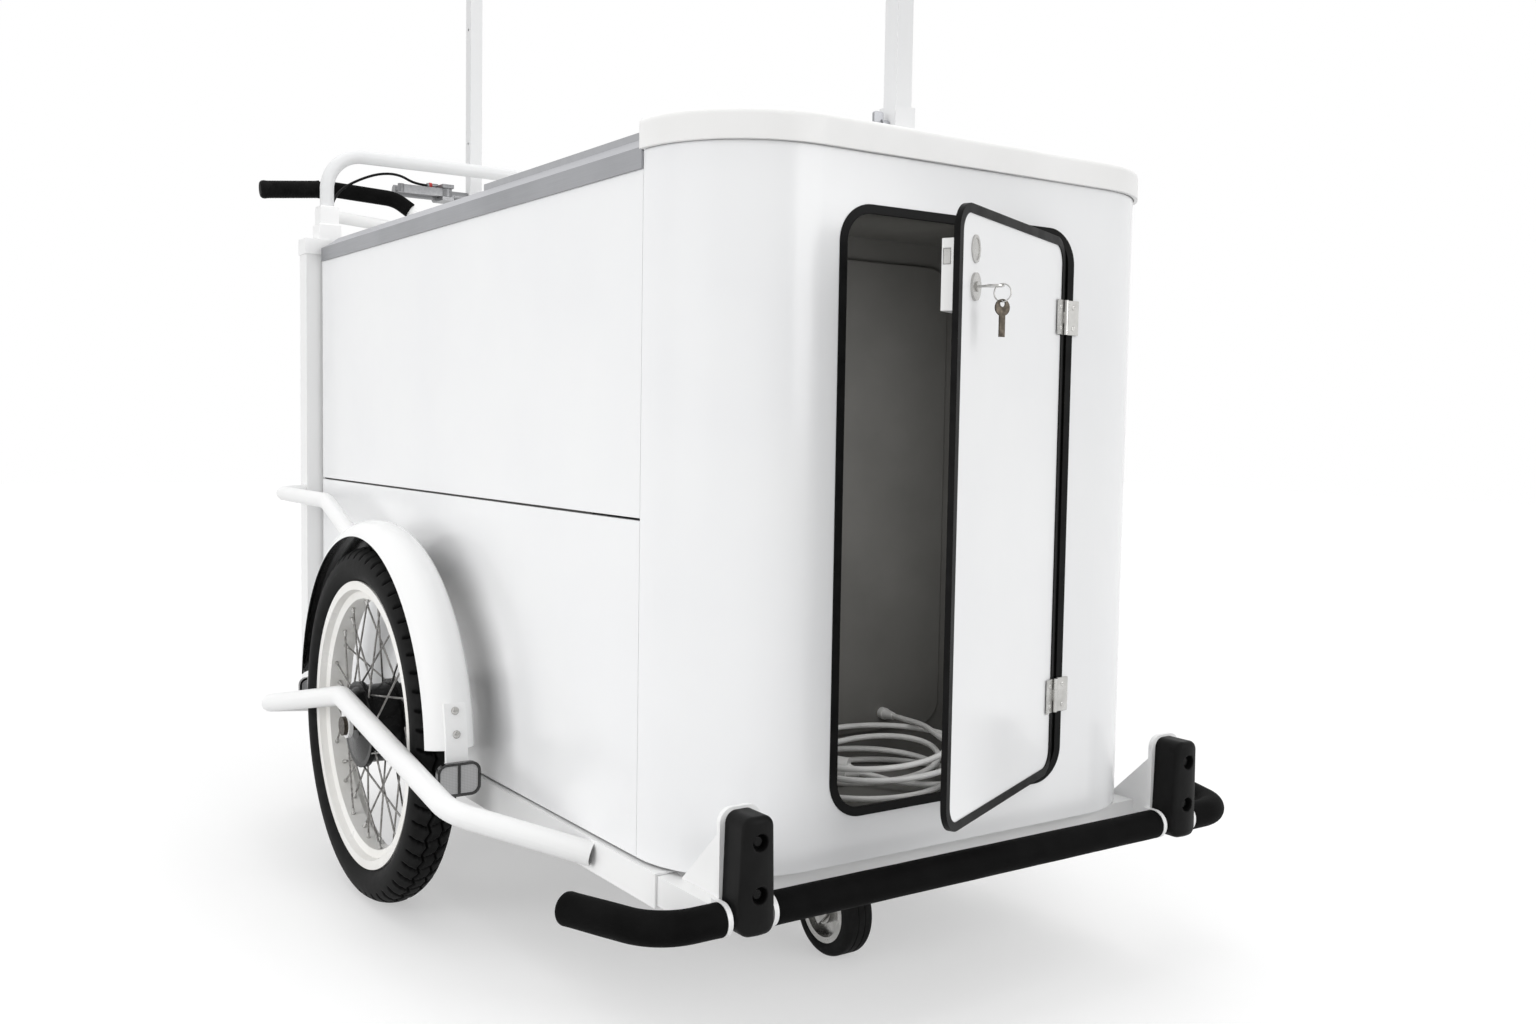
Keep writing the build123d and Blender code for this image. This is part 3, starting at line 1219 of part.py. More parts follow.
def make_wheel(side):
    """One spoked wheel: tyre, deep rim, laced spokes and drum hub, turned about its axle."""
    axis = Axis(at(0, WHEEL_BACK, AXLE_LEVEL), (1, 0, 0))
    plane = Plane(origin=at(side * WHEEL_X, WHEEL_BACK, AXLE_LEVEL), x_dir=(1, 0, 0), z_dir=(0, -1, 0))

    def turned(face):
        return revolve(plane * face, axis)

    half = TYRE_WIDTH / 2
    crown = half - TYRE_SHOULDER / 3
    shoulder = TYRE_RADIUS - TYRE_SHOULDER / 2
    wall = (shoulder + RIM_FLANGE_RADIUS) / 2
    bead = RIM_HALF_WIDTH - RIM_SHEET - FIT_GAP
    seat = RIM_SEAT_RADIUS + FIT_GAP
    tyre_face = make_face(
        [
            ThreePointArc((-crown, shoulder), (0, TYRE_RADIUS), (crown, shoulder)),
            ThreePointArc((crown, shoulder), (half, wall), (bead, RIM_FLANGE_RADIUS)),
            Polyline((bead, RIM_FLANGE_RADIUS), (bead, seat), (-bead, seat), (-bead, RIM_FLANGE_RADIUS)),
            ThreePointArc((-bead, RIM_FLANGE_RADIUS), (-half, wall), (-crown, shoulder)),
        ]
    )
    well = RIM_HALF_WIDTH / 2
    rim_outer = Polyline(
        (-RIM_HALF_WIDTH, RIM_FLANGE_RADIUS),
        (-RIM_HALF_WIDTH + RIM_SHEET, RIM_FLANGE_RADIUS),
        (-RIM_HALF_WIDTH + RIM_SHEET, RIM_SEAT_RADIUS),
        (-well, RIM_SEAT_RADIUS - RIM_SHEET),
        (-well + RIM_SHEET, RIM_WELL_RADIUS),
        (well - RIM_SHEET, RIM_WELL_RADIUS),
        (well, RIM_SEAT_RADIUS - RIM_SHEET),
        (RIM_HALF_WIDTH - RIM_SHEET, RIM_SEAT_RADIUS),
        (RIM_HALF_WIDTH - RIM_SHEET, RIM_FLANGE_RADIUS),
        (RIM_HALF_WIDTH, RIM_FLANGE_RADIUS),
        (RIM_HALF_WIDTH, RIM_SEAT_RADIUS - RIM_SHEET),
        (well + RIM_SHEET, RIM_SEAT_RADIUS - 2 * RIM_SHEET),
        (well, RIM_WELL_RADIUS - RIM_SHEET),
        (-well, RIM_WELL_RADIUS - RIM_SHEET),
        (-well - RIM_SHEET, RIM_SEAT_RADIUS - 2 * RIM_SHEET),
        (-RIM_HALF_WIDTH, RIM_SEAT_RADIUS - RIM_SHEET),
        close=True,
    )
    flange_in = HUB_FLANGE_OUT - HUB_FLANGE_SHEET
    hub_face = make_face(
        Polyline(
            (-HUB_HALF_WIDTH, AXLE_RADIUS + RUNNING_FIT),
            (-HUB_HALF_WIDTH, HUB_NOSE_RADIUS),
            (-HUB_FLANGE_OUT, HUB_FLANGE_RADIUS - HUB_FLANGE_SHEET),
            (-HUB_FLANGE_OUT, HUB_FLANGE_RADIUS),
            (-flange_in, HUB_FLANGE_RADIUS),
            (-flange_in, HUB_DRUM_RADIUS),
            (flange_in, HUB_DRUM_RADIUS),
            (flange_in, HUB_FLANGE_RADIUS),
            (HUB_FLANGE_OUT, HUB_FLANGE_RADIUS),
            (HUB_FLANGE_OUT, HUB_FLANGE_RADIUS - HUB_FLANGE_SHEET),
            (HUB_HALF_WIDTH, HUB_NOSE_RADIUS),
            (HUB_HALF_WIDTH, AXLE_RADIUS + RUNNING_FIT),
            close=True,
        )
    )
    name = "left" if side < 0 else "right"
    return {
        f"tyre_{name}": [turned(tyre_face)],
        f"rim_{name}": [turned(make_face(rim_outer))],
        f"hub_{name}": [turned(hub_face)],
        f"spokes_{name}": make_spokes(side),
    }


def make_spokes(side):
    """Straight spokes laced from both hub flanges, leading and trailing in turn, seated on hub and rim."""
    spokes = []
    start_radius = HUB_FLANGE_RADIUS - SPOKE_DIAMETER
    end_radius = RIM_WELL_RADIUS
    section = RegularPolygon(SPOKE_DIAMETER / 2, 6)
    stagger = HUB_FLANGE_SHEET / 2 - SPOKE_DIAMETER / 2
    flange_middle = HUB_FLANGE_OUT - HUB_FLANGE_SHEET / 2
    for index in range(SPOKE_COUNT):
        flange = 1 if index % 2 else -1
        lean = 1 if (index // 2) % 2 else -1
        rim_angle = math.radians(360.0 * index / SPOKE_COUNT)
        hub_angle = rim_angle + lean * math.radians(SPOKE_SWEEP)
        hub_x = flange * (flange_middle + lean * stagger)
        rim_x = flange * SPOKE_DIAMETER * (1 + lean / 2)
        start = at(
            side * WHEEL_X + hub_x,
            WHEEL_BACK + start_radius * math.cos(hub_angle),
            AXLE_LEVEL + start_radius * math.sin(hub_angle),
        )
        end = at(
            side * WHEEL_X + rim_x,
            WHEEL_BACK + end_radius * math.cos(rim_angle),
            AXLE_LEVEL + end_radius * math.sin(rim_angle),
        )
        run = end - start
        spokes.append(extrude(Plane(origin=start, z_dir=run) * section, run.length))
    outside = side * WHEEL_X + TYRE_WIDTH
    inside = side * WHEEL_X - TYRE_WIDTH
    rim_seat = RIM_WELL_RADIUS - RIM_SHEET
    between = rod_x(rim_seat, inside, outside, WHEEL_BACK, AXLE_LEVEL)
    between -= rod_x(HUB_FLANGE_RADIUS, inside, outside, WHEEL_BACK, AXLE_LEVEL)
    return [spoke & between for spoke in spokes]


def make_axles():
    """Fixed axles with end caps, the brake backing plate of the left wheel and its swinging arm."""
    outer_face = GUARD_PLANE - GUARD_TUBE / 2 + BRACKET_SHEET / 2
    inner_end = -HALF - FIT_GAP
    axle = rod_x(AXLE_RADIUS, -outer_face - BRACKET_SHEET, inner_end, WHEEL_BACK, AXLE_LEVEL)
    cap_face = -outer_face - BRACKET_SHEET
    axle += rod_x(AXLE_CAP_RADIUS, cap_face - BRACKET_SHEET, cap_face, WHEEL_BACK, AXLE_LEVEL)
    plate_out = -WHEEL_X + HUB_HALF_WIDTH + BRAKE_PLATE_GAP
    plate_in = plate_out + BRAKE_PLATE_SHEET
    plate = rod_x(BRAKE_PLATE_RADIUS, plate_out, plate_in, WHEEL_BACK, AXLE_LEVEL)
    plate -= rod_x(AXLE_RADIUS, plate_out, plate_in, WHEEL_BACK, AXLE_LEVEL)
    pivot_back = WHEEL_BACK + BRAKE_PIVOT_AHEAD
    pivot_level = AXLE_LEVEL - BRAKE_PIVOT_DROP
    arm_out = plate_in + BRAKE_ARM_GAP
    arm_in = arm_out + BRAKE_ARM_SHEET
    plate += rod_x(BRAKE_PIVOT_RADIUS, plate_in, arm_in + BRAKE_ARM_GAP, pivot_back, pivot_level)
    arm = block(
        arm_out,
        arm_in,
        pivot_back - BRAKE_ARM_WIDTH / 2,
        pivot_back + BRAKE_ARM_WIDTH / 2,
        pivot_level - BRAKE_ARM_LENGTH,
        pivot_level,
    )
    arm += rod_x(BRAKE_ARM_WIDTH / 2, arm_out, arm_in, pivot_back, pivot_level)
    eye_x, eye_back, eye_level = brake_arm_eye()
    eye_half = BRAKE_EYE_WIDTH / 2
    arm += rod_x(BRAKE_ARM_WIDTH / 2, eye_x - eye_half, eye_x + eye_half, eye_back, eye_level)
    arm -= rod_y(BRAKE_EYE_RADIUS, eye_back - BRAKE_ARM_WIDTH, eye_back + BRAKE_ARM_WIDTH, eye_x, eye_level)
    arm -= rod_x(BRAKE_PIVOT_RADIUS + RUNNING_FIT, arm_out, arm_in, pivot_back, pivot_level)
    return {"wheel_axles": both_sides(axle) + [plate], "brake_arm": [arm]}


def make_guards():
    """Guard rails that carry the outer axle ends, and mudguards."""
    weld_front, weld_front_level = GUARD_WELD_FRONT
    weld_rear, weld_rear_level = GUARD_WELD_REAR
    points = [
        at(-RAIL_OUTSIDE, weld_front, weld_front_level),
        at(-GUARD_PLANE, *GUARD_FRONT),
        at(-GUARD_PLANE, WHEEL_BACK, GUARD_APEX_LEVEL),
        at(-GUARD_PLANE, *GUARD_REAR),
        at(-RAIL_OUTSIDE, weld_rear, weld_rear_level),
    ]
    rail = bent_tube(points, GUARD_BEND, GUARD_TUBE, wall=GUARD_WALL)
    rail -= block(-RAIL_OUTSIDE, -RAIL_OUTSIDE + POST, 0, CABINET_BACK + POST, 0, SEAM_HEIGHT)
    outer_face = GUARD_PLANE - GUARD_TUBE / 2 + BRACKET_SHEET / 2
    left = -outer_face - BRACKET_SHEET
    hanger = block(
        left,
        -outer_face,
        WHEEL_BACK - HANGER_HALF_WIDTH,
        WHEEL_BACK + HANGER_HALF_WIDTH,
        AXLE_LEVEL,
        GUARD_APEX_LEVEL,
    )
    hanger += rod_x(HANGER_HALF_WIDTH, left, -outer_face, WHEEL_BACK, AXLE_LEVEL)
    hanger -= rod_x(AXLE_RADIUS, left, -outer_face, WHEEL_BACK, AXLE_LEVEL)
    hanger -= bent_tube(points, GUARD_BEND, GUARD_TUBE - GUARD_WALL)
    guard = rail + hanger
    mudguard = make_mudguard()
    return {
        "guard_rail_left": [guard],
        "guard_rail_right": [mirrored(guard)],
        "mudguard_left": [mudguard],
        "mudguard_right": [mirrored(mudguard)],
    }


def wheel_section(face, front_angle, sweep_angle):
    """A section drawn as (across, radius), turned about the left axle upwards from its front end."""
    plane = Plane(origin=at(-MUDGUARD_X, WHEEL_BACK, AXLE_LEVEL), x_dir=(1, 0, 0), z_dir=(0, -1, 0))
    axis = Axis(at(0, WHEEL_BACK, AXLE_LEVEL), (1, 0, 0))
    start = (plane * face).rotate(axis, 90 - front_angle)
    return revolve(start, axis, revolution_arc=-sweep_angle)


def mudguard_arc(half, edge, top):
    """Crowned arc across the mudguard, from edge to edge."""
    return ThreePointArc((-half, edge), (0, top), (half, edge))


def make_mudguard():
    """Left mudguard: a crowned sheet section turned about the axle from its front end to its rear end."""
    half = MUDGUARD_WIDTH / 2
    edge = MUDGUARD_RADIUS - MUDGUARD_DROP
    inner = MUDGUARD_RADIUS - MUDGUARD_SHEET
    inner_half = half - MUDGUARD_SHEET
    face = make_face(
        [
            mudguard_arc(half, edge, MUDGUARD_RADIUS),
            Line((half, edge), (inner_half, edge)),
            mudguard_arc(inner_half, edge, inner),
            Line((-inner_half, edge), (-half, edge)),
        ]
    )
    return wheel_section(face, MUDGUARD_FRONT_ANGLE, 180 - MUDGUARD_FRONT_ANGLE - MUDGUARD_REAR_ANGLE)


def mudguard_form():
    """Filled form under the left mudguard's outer face, for cutting what is seated on it."""
    half = MUDGUARD_WIDTH / 2
    edge = MUDGUARD_RADIUS - MUDGUARD_DROP
    foot = HUB_FLANGE_RADIUS
    face = make_face(
        [
            mudguard_arc(half, edge, MUDGUARD_RADIUS),
            Polyline((half, edge), (half, foot), (-half, foot), (-half, edge)),
        ]
    )
    return wheel_section(face, 0, 180)


def make_reflectors():
    """Reflectors in black-rimmed cases on sheet brackets at both ends of each mudguard."""
    brackets = []
    lenses = []
    neck = REFLECTOR_BRACKET_NECK / 2
    outer = MUDGUARD_RADIUS + REFLECTOR_BRACKET_SHEET
    strap_face = make_face(
        Polyline(
            (-neck, outer),
            (neck, outer),
            (neck, MUDGUARD_RADIUS - MUDGUARD_DROP / 2),
            (-neck, MUDGUARD_RADIUS - MUDGUARD_DROP / 2),
            close=True,
        )
    )
    strap_angle = math.degrees(REFLECTOR_BRACKET_RISE / MUDGUARD_RADIUS)
    form = mudguard_form()
    ends = ((-1, MUDGUARD_FRONT_ANGLE), (1, MUDGUARD_REAR_ANGLE))
    for way, angle in ends:
        out = WHEEL_BACK + way * outer
        seat = WHEEL_BACK + way * MUDGUARD_RADIUS
        end_level = AXLE_LEVEL + MUDGUARD_RADIUS * math.sin(math.radians(angle))
        middle = end_level - REFLECTOR_DROP - REFLECTOR_HEIGHT / 2
        start_angle = 0 if way < 0 else 180 - angle - strap_angle
        plate = wheel_section(strap_face, start_angle, angle + strap_angle) - form
        plate += block(-MUDGUARD_X - neck, -MUDGUARD_X + neck, seat, out, middle, AXLE_LEVEL)
        plate += block(
            -MUDGUARD_X - REFLECTOR_WIDTH / 2 + REFLECTOR_RADIUS,
            -MUDGUARD_X + REFLECTOR_WIDTH / 2 - REFLECTOR_RADIUS,
            seat,
            out,
            middle - REFLECTOR_HEIGHT / 2 + REFLECTOR_RADIUS,
            middle + REFLECTOR_HEIGHT / 2,
        )
        face = RectangleRounded(REFLECTOR_WIDTH, REFLECTOR_HEIGHT, REFLECTOR_RADIUS)
        plane = Plane(origin=at(-MUDGUARD_X, out, middle), x_dir=(1, 0, 0), z_dir=(0, way, 0))
        lens = extrude(plane * face, REFLECTOR_DEPTH)
        sunk = RectangleRounded(
            REFLECTOR_WIDTH - 2 * REFLECTOR_RIM,
            REFLECTOR_HEIGHT - 2 * REFLECTOR_RIM,
            REFLECTOR_RADIUS - REFLECTOR_RIM,
        )
        sunk -= Rectangle(REFLECTOR_RIM, REFLECTOR_HEIGHT)
        floor = plane.offset(REFLECTOR_DEPTH - REFLECTOR_SINK)
        lens -= extrude(floor * sunk, REFLECTOR_DEPTH)
        brackets += both_sides(plate)
        lenses += both_sides(lens)
    return {"reflector_brackets": brackets, "reflectors": lenses}


def make_bumper():
    """Bumper bar with foam sleeves, brackets on arms that slide into the chassis tubes, and rubbers."""
    bar_route = [
        at(-BUMPER_END_X, BUMPER_END_BACK, BUMPER_LEVEL),
        at(-BUMPER_CORNER_X, -BUMPER_AHEAD, BUMPER_LEVEL),
        at(BUMPER_CORNER_X, -BUMPER_AHEAD, BUMPER_LEVEL),
        at(BUMPER_END_X, BUMPER_END_BACK, BUMPER_LEVEL),
    ]
    bar = bent_tube(bar_route, BUMPER_BEND, BUMPER_TUBE, wall=BUMPER_WALL)
    plate_back = -BUMPER_PLATE_AHEAD + BUMPER_PLATE_SHEET
    half = RUBBER_WIDTH / 2
    left = -BUMPER_BRACKET_X - half
    right = -BUMPER_BRACKET_X + half
    plate_face = -BUMPER_PLATE_AHEAD
    plate = front_slab(left, right, RUBBER_BOTTOM, RUBBER_TOP, RUBBER_RADIUS, plate_face, plate_back)
    arm_wall = RAIL_WALL + ARM_PLAY
    arm_left = -RAIL_OUTSIDE + arm_wall
    arm_right = -RAIL_INSIDE - arm_wall
    arm_bottom = RAIL_BOTTOM + arm_wall
    arm_top = RAIL_TOP - arm_wall
    arm = block(arm_left, arm_right, plate_back, plate_back + ARM_LENGTH, arm_bottom, arm_top)
    gusset_corners = [
        at(arm_right, plate_back, arm_top),
        at(arm_right, plate_back + GUSSET_REACH, arm_top),
        at(arm_right, plate_back, arm_top + GUSSET_HEIGHT),
    ]
    gusset = extrude(make_face(Polyline(*gusset_corners, close=True)), GUSSET_SHEET, dir=(-1, 0, 0))
    collar_radius = BUMPER_FOAM / 2
    collars = []
    for x0 in (left - BUMPER_COLLAR, right):
        collar = rod_x(collar_radius, x0, x0 + BUMPER_COLLAR, -BUMPER_AHEAD, BUMPER_LEVEL)
        collar += block(
            x0,
            x0 + BUMPER_COLLAR,
            -BUMPER_AHEAD,
            plate_back,
            BUMPER_LEVEL - collar_radius,
            BUMPER_LEVEL + collar_radius,
        )
        collars.append(collar)
    bracket = plate + arm + gusset + collars[0] + collars[1]
    bar_room = BUMPER_TUBE / 2 + SLEEVE_PLAY
    bracket -= rod_x(bar_room, left - 2 * half, right + 2 * half, -BUMPER_AHEAD, BUMPER_LEVEL)
    rubber = make_rubber(left, right)
    foam = make_bumper_foam(left - BUMPER_COLLAR, right + BUMPER_COLLAR)
    return {
        "bumper_frame": both_sides(bracket) + [bar],
        "bumper_foam": foam,
        "bumper_rubbers": both_sides(rubber),
    }


def make_rubber(left, right):
    """Left rubber bumper: tall crowned block, narrower at its top, with bar groove and two bolt holes."""
    face = -BUMPER_PLATE_AHEAD
    front = face - RUBBER_DEPTH
    middle = (left + right) / 2
    wide = (right - left) / 2 - RUBBER_MARGIN
    narrow = wide - RUBBER_TAPER
    low = RUBBER_BOTTOM + RUBBER_MARGIN
    high = RUBBER_TOP - RUBBER_MARGIN
    outline = make_face(Polyline((-wide, low), (wide, low), (narrow, high), (-narrow, high), close=True))
    outline = fillet(outline.vertices(), RUBBER_RADIUS - RUBBER_MARGIN)
    plane = Plane(origin=at(middle, face, 0), x_dir=(1, 0, 0), z_dir=(0, -1, 0))
    rubber = extrude(plane * outline, RUBBER_DEPTH)
    rubber = rubber & rod_z(RUBBER_CROWN, 0, 2 * RUBBER_TOP, middle, front + RUBBER_CROWN)
    rubber = fillet(rubber.faces().sort_by(Axis.Y)[0].edges(), RUBBER_EDGE)
    groove = BUMPER_TUBE / 2 + SLEEVE_PLAY
    rubber -= rod_x(groove, left, right, -BUMPER_AHEAD, BUMPER_LEVEL)
    rubber -= block(left, right, -BUMPER_AHEAD, face, BUMPER_LEVEL - groove, BUMPER_LEVEL + groove)
    for level in RUBBER_BOLT_LEVELS:
        rubber -= rod_y(RUBBER_BOLT_HOLE / 2, front, front + RUBBER_BOLT_SINK, middle, level)
    return rubber


def make_bumper_foam(outer_collar, inner_collar):
    """Foam sleeves: one between the brackets, and one round each bent end with a closed tip."""
    bore = BUMPER_TUBE + 2 * SLEEVE_PLAY
    middle = bent_tube(
        [at(inner_collar, -BUMPER_AHEAD, BUMPER_LEVEL), at(-inner_collar, -BUMPER_AHEAD, BUMPER_LEVEL)],
        0,
        BUMPER_FOAM,
        bore=bore,
    )
    end = at(-BUMPER_END_X, BUMPER_END_BACK, BUMPER_LEVEL)
    corner = at(-BUMPER_CORNER_X, -BUMPER_AHEAD, BUMPER_LEVEL)
    start = at(outer_collar, -BUMPER_AHEAD, BUMPER_LEVEL)
    sleeve = bent_tube([end, corner, start], BUMPER_BEND, BUMPER_FOAM, bore=bore)
    along = (end - corner).normalized()
    tip = bent_tube([end + along * GRIP_END, end], 0, BUMPER_FOAM)
    return [middle] + both_sides(sleeve + tip)


def make_caster():
    """Swivel caster: bolted plate with king pin, trailing fork with axle, wheel core and tyre."""
    plate_top = RAIL_BOTTOM
    plate_bottom = plate_top - CASTER_PLATE_SHEET
    plate = block(
        -CASTER_PLATE_WIDTH / 2,
        CASTER_PLATE_WIDTH / 2,
        SWIVEL_BACK - CASTER_PLATE_DEPTH / 2,
        SWIVEL_BACK + CASTER_PLATE_DEPTH / 2,
        plate_bottom,
        plate_top,
    )
    race_bottom = plate_bottom - CASTER_RACE_HEIGHT
    crown_top = race_bottom - CASTER_FLOAT
    crown_bottom = crown_top - CASTER_CROWN
    plate += rod_z(CASTER_RACE_RADIUS, race_bottom, plate_bottom, 0, SWIVEL_BACK)
    head = crown_bottom - CASTER_FLOAT
    plate += rod_z(CASTER_PIN_RADIUS, head, race_bottom, 0, SWIVEL_BACK)
    plate += rod_z(CASTER_PIN_RADIUS * 1.4, head - CASTER_CROWN, head, 0, SWIVEL_BACK)
    axle_level = CASTER_RADIUS
    inner = CASTER_WIDTH / 2 + CASTER_SIDE_GAP
    outer = inner + CASTER_CHEEK
    crown_front = SWIVEL_BACK - CASTER_RACE_RADIUS
    crown_behind = SWIVEL_BACK + CASTER_RACE_RADIUS
    fork = block(-outer, outer, crown_front, crown_behind, crown_bottom, crown_top)
    cheek_profile = [
        at(inner, crown_front, crown_top),
        at(inner, crown_behind, crown_top),
        at(inner, CASTER_BACK + 3 * CASTER_AXLE_RADIUS, axle_level),
        at(inner, CASTER_BACK, axle_level - 3 * CASTER_AXLE_RADIUS),
        at(inner, CASTER_BACK - 3 * CASTER_AXLE_RADIUS, axle_level),
    ]
    cheek = extrude(make_face(Polyline(*cheek_profile, close=True)), CASTER_CHEEK, dir=(1, 0, 0))
    fork += cheek
    fork += mirrored(cheek)
    fork -= rod_z(CASTER_PIN_RADIUS + RUNNING_FIT, crown_bottom, crown_top, 0, SWIVEL_BACK)
    fork += rod_x(CASTER_AXLE_RADIUS, -outer - CASTER_CHEEK, outer + CASTER_CHEEK, CASTER_BACK, axle_level)
    half = CASTER_WIDTH / 2
    core = rod_x(CASTER_CORE_RADIUS, -half, half, CASTER_BACK, axle_level)
    core -= rod_x(CASTER_AXLE_RADIUS + RUNNING_FIT, -half, half, CASTER_BACK, axle_level)
    dish = CASTER_WIDTH / 4
    for x0, x1 in ((-half, -half + dish), (half - dish, half)):
        ring = rod_x(CASTER_CORE_RADIUS - 2 * CASTER_CHEEK, x0, x1, CASTER_BACK, axle_level)
        ring -= rod_x(3 * CASTER_AXLE_RADIUS, x0, x1, CASTER_BACK, axle_level)
        core -= ring
    tyre = rod_x(CASTER_RADIUS, -half, half, CASTER_BACK, axle_level)
    tyre = fillet(tyre.edges(), CASTER_WIDTH / 5)
    tyre -= rod_x(CASTER_CORE_RADIUS, -half, half, CASTER_BACK, axle_level)
    return {"caster_plate": [plate], "caster_fork": [fork], "caster_wheel": [core], "caster_tyre": [tyre]}


def smooth_wire(points, first=None, last=None):
    """Tangent arcs through the points: two arcs between each point and the next."""
    count = len(points)
    tangents = []
    for index in range(count):
        before = points[max(index - 1, 0)]
        after = points[min(index + 1, count - 1)]
        tangents.append((after - before).normalized())
    if first is not None:
        tangents[0] = first.normalized()
    if last is not None:
        tangents[-1] = last.normalized()
    edges = []
    for index in range(count - 1):
        p0, p1 = points[index], points[index + 1]
        t0, t1 = tangents[index], tangents[index + 1]
        chord = p1 - p0
        both = chord.dot(t0 + t1)
        turn = 2 * (1 - t0.dot(t1))
        if turn < 1e-9:
            reach = chord.dot(chord) / (4 * chord.dot(t1))
        else:
            reach = (-both + math.sqrt(both * both + turn * chord.dot(chord))) / turn
        joint = (p0 + t0 * reach + p1 - t1 * reach) * 0.5
        edges.append(TangentArc(p0, joint, tangent=t0))
        edges.append(TangentArc(joint, p1, tangent=edges[-1] % 1))
    return Wire([edge.edge() for edge in edges])


def coil_point(turn):
    """Point of the coil after so many turns, from its raised top turn down to the compartment floor.

    The radius and the middle drift from turn to turn, and the upper turns lean up at one side.
    """
    base = LINER_FLOOR + LEAD_DIAMETER / 2 + FIT_GAP
    angle = math.radians(LEAD_START_ANGLE - 360.0 * turn)
    above = max(LEAD_TURNS - turn, 0.0)
    lean = 0.5 + 0.5 * math.cos(angle - math.radians(LEAD_TILT_ANGLE))
    radius = LEAD_TURN_RADIUS + LEAD_TURN_SPREAD * math.sin(LEAD_SPREAD_WAVE * turn)
    tail = max(turn - LEAD_TURNS, 0.0) / LEAD_TAIL_TURN
    radius += (LEAD_TAIL_RADIUS - radius) * tail
    lift = (PLUG_RADIUS - LEAD_DIAMETER / 2) * tail
    wave_x, wave_back = LEAD_DRIFT_WAVES
    middle_x = LEAD_CENTRE_X + LEAD_TURN_DRIFT * math.sin(wave_x * turn)
    middle_back = LEAD_CENTRE_BACK + LEAD_TURN_DRIFT * math.sin(wave_back * turn) / 2
    return at(
        middle_x + LEAD_STRETCH * radius * math.cos(angle),
        middle_back + radius * math.sin(angle),
        base + above * LEAD_LAYER + lean * LEAD_TILT * above / LEAD_TURNS + lift,
    )


def lead_points():
    """Route of the mains lead: out of the gland, round the loose turns, and inwards to its plug."""
    gland_end = LINER_BACK - LINER_SHEET - LINER_PANEL_RAISE - GLAND_LENGTH
    points = [at(GLAND_X, gland_end, GLAND_LEVEL)]
    steps = LEAD_TURNS * LEAD_STEPS_PER_TURN
    for index in range(steps + 1):
        points.append(coil_point(index / LEAD_STEPS_PER_TURN))
    points.append(coil_point(LEAD_TURNS + LEAD_TAIL_TURN / 2))
    points.append(coil_point(LEAD_TURNS + LEAD_TAIL_TURN))
    return points


def least_self_gap(samples, diameter):
    """Least gap of a swept tube to itself, on points spaced closely enough to see each crossing."""
    spacing = (samples[1] - samples[0]).length
    window = int(4 * diameter / spacing) + 1
    least = 1e9
    for i in range(len(samples)):
        for j in range(i + window, len(samples)):
            least = min(least, (samples[i] - samples[j]).length - diameter)
    return least


def make_lead():
    """Mains lead with its gland on the back wall and its plug."""
    wall = LINER_BACK - LINER_SHEET - LINER_PANEL_RAISE
    gland = rod_y(GLAND_RADIUS, wall - GLAND_LENGTH / 3, wall, GLAND_X, GLAND_LEVEL)
    nose = Cone(GLAND_NOSE_RADIUS, LEAD_DIAMETER / 2 + FIT_GAP * 2, GLAND_LENGTH * 2 / 3)
    gland += Pos(at(GLAND_X, wall - GLAND_LENGTH * 2 / 3, GLAND_LEVEL)) * Rot(90, 0, 0) * nose
    points = lead_points()
    wire = smooth_wire(points, first=Vector(0, -1, 0))
    samples = [wire @ (index / 600) for index in range(601)]
    print("mains lead length", round(wire.length, 1))
    print("mains lead least gap to itself", round(least_self_gap(samples, LEAD_DIAMETER), 2))
    section = Plane(origin=wire @ 0, z_dir=wire % 0) * Circle(LEAD_DIAMETER / 2)
    lead = sweep(section, path=wire)
    area = math.pi * (LEAD_DIAMETER / 2) ** 2
    print("mains lead volume share", round(lead.volume / (area * wire.length), 4))
    tip = wire @ 1
    way = wire % 1
    level_way = Vector(way.X, way.Y, 0).normalized()
    plug_plane = Plane(origin=tip, z_dir=way, x_dir=level_way.cross(Vector(0, 0, 1)))
    boot = Cone(LEAD_DIAMETER / 2 + FIT_GAP * 2, PLUG_BOOT_RADIUS, PLUG_LENGTH / 3)
    body = Pos(0, 0, PLUG_LENGTH * 2 / 3) * Cylinder(PLUG_RADIUS, PLUG_LENGTH * 2 / 3)
    plug = Pos(0, 0, PLUG_LENGTH / 6) * boot + body
    for side in (-1, 1):
        pin = Cylinder(PLUG_PIN_RADIUS, PLUG_PIN_LENGTH)
        plug += Pos(side * PLUG_PIN_SPACING / 2, 0, PLUG_LENGTH + PLUG_PIN_LENGTH / 2) * pin
    return {"lead_gland": [gland], "mains_lead": [lead], "mains_plug": [plug_plane * plug]}


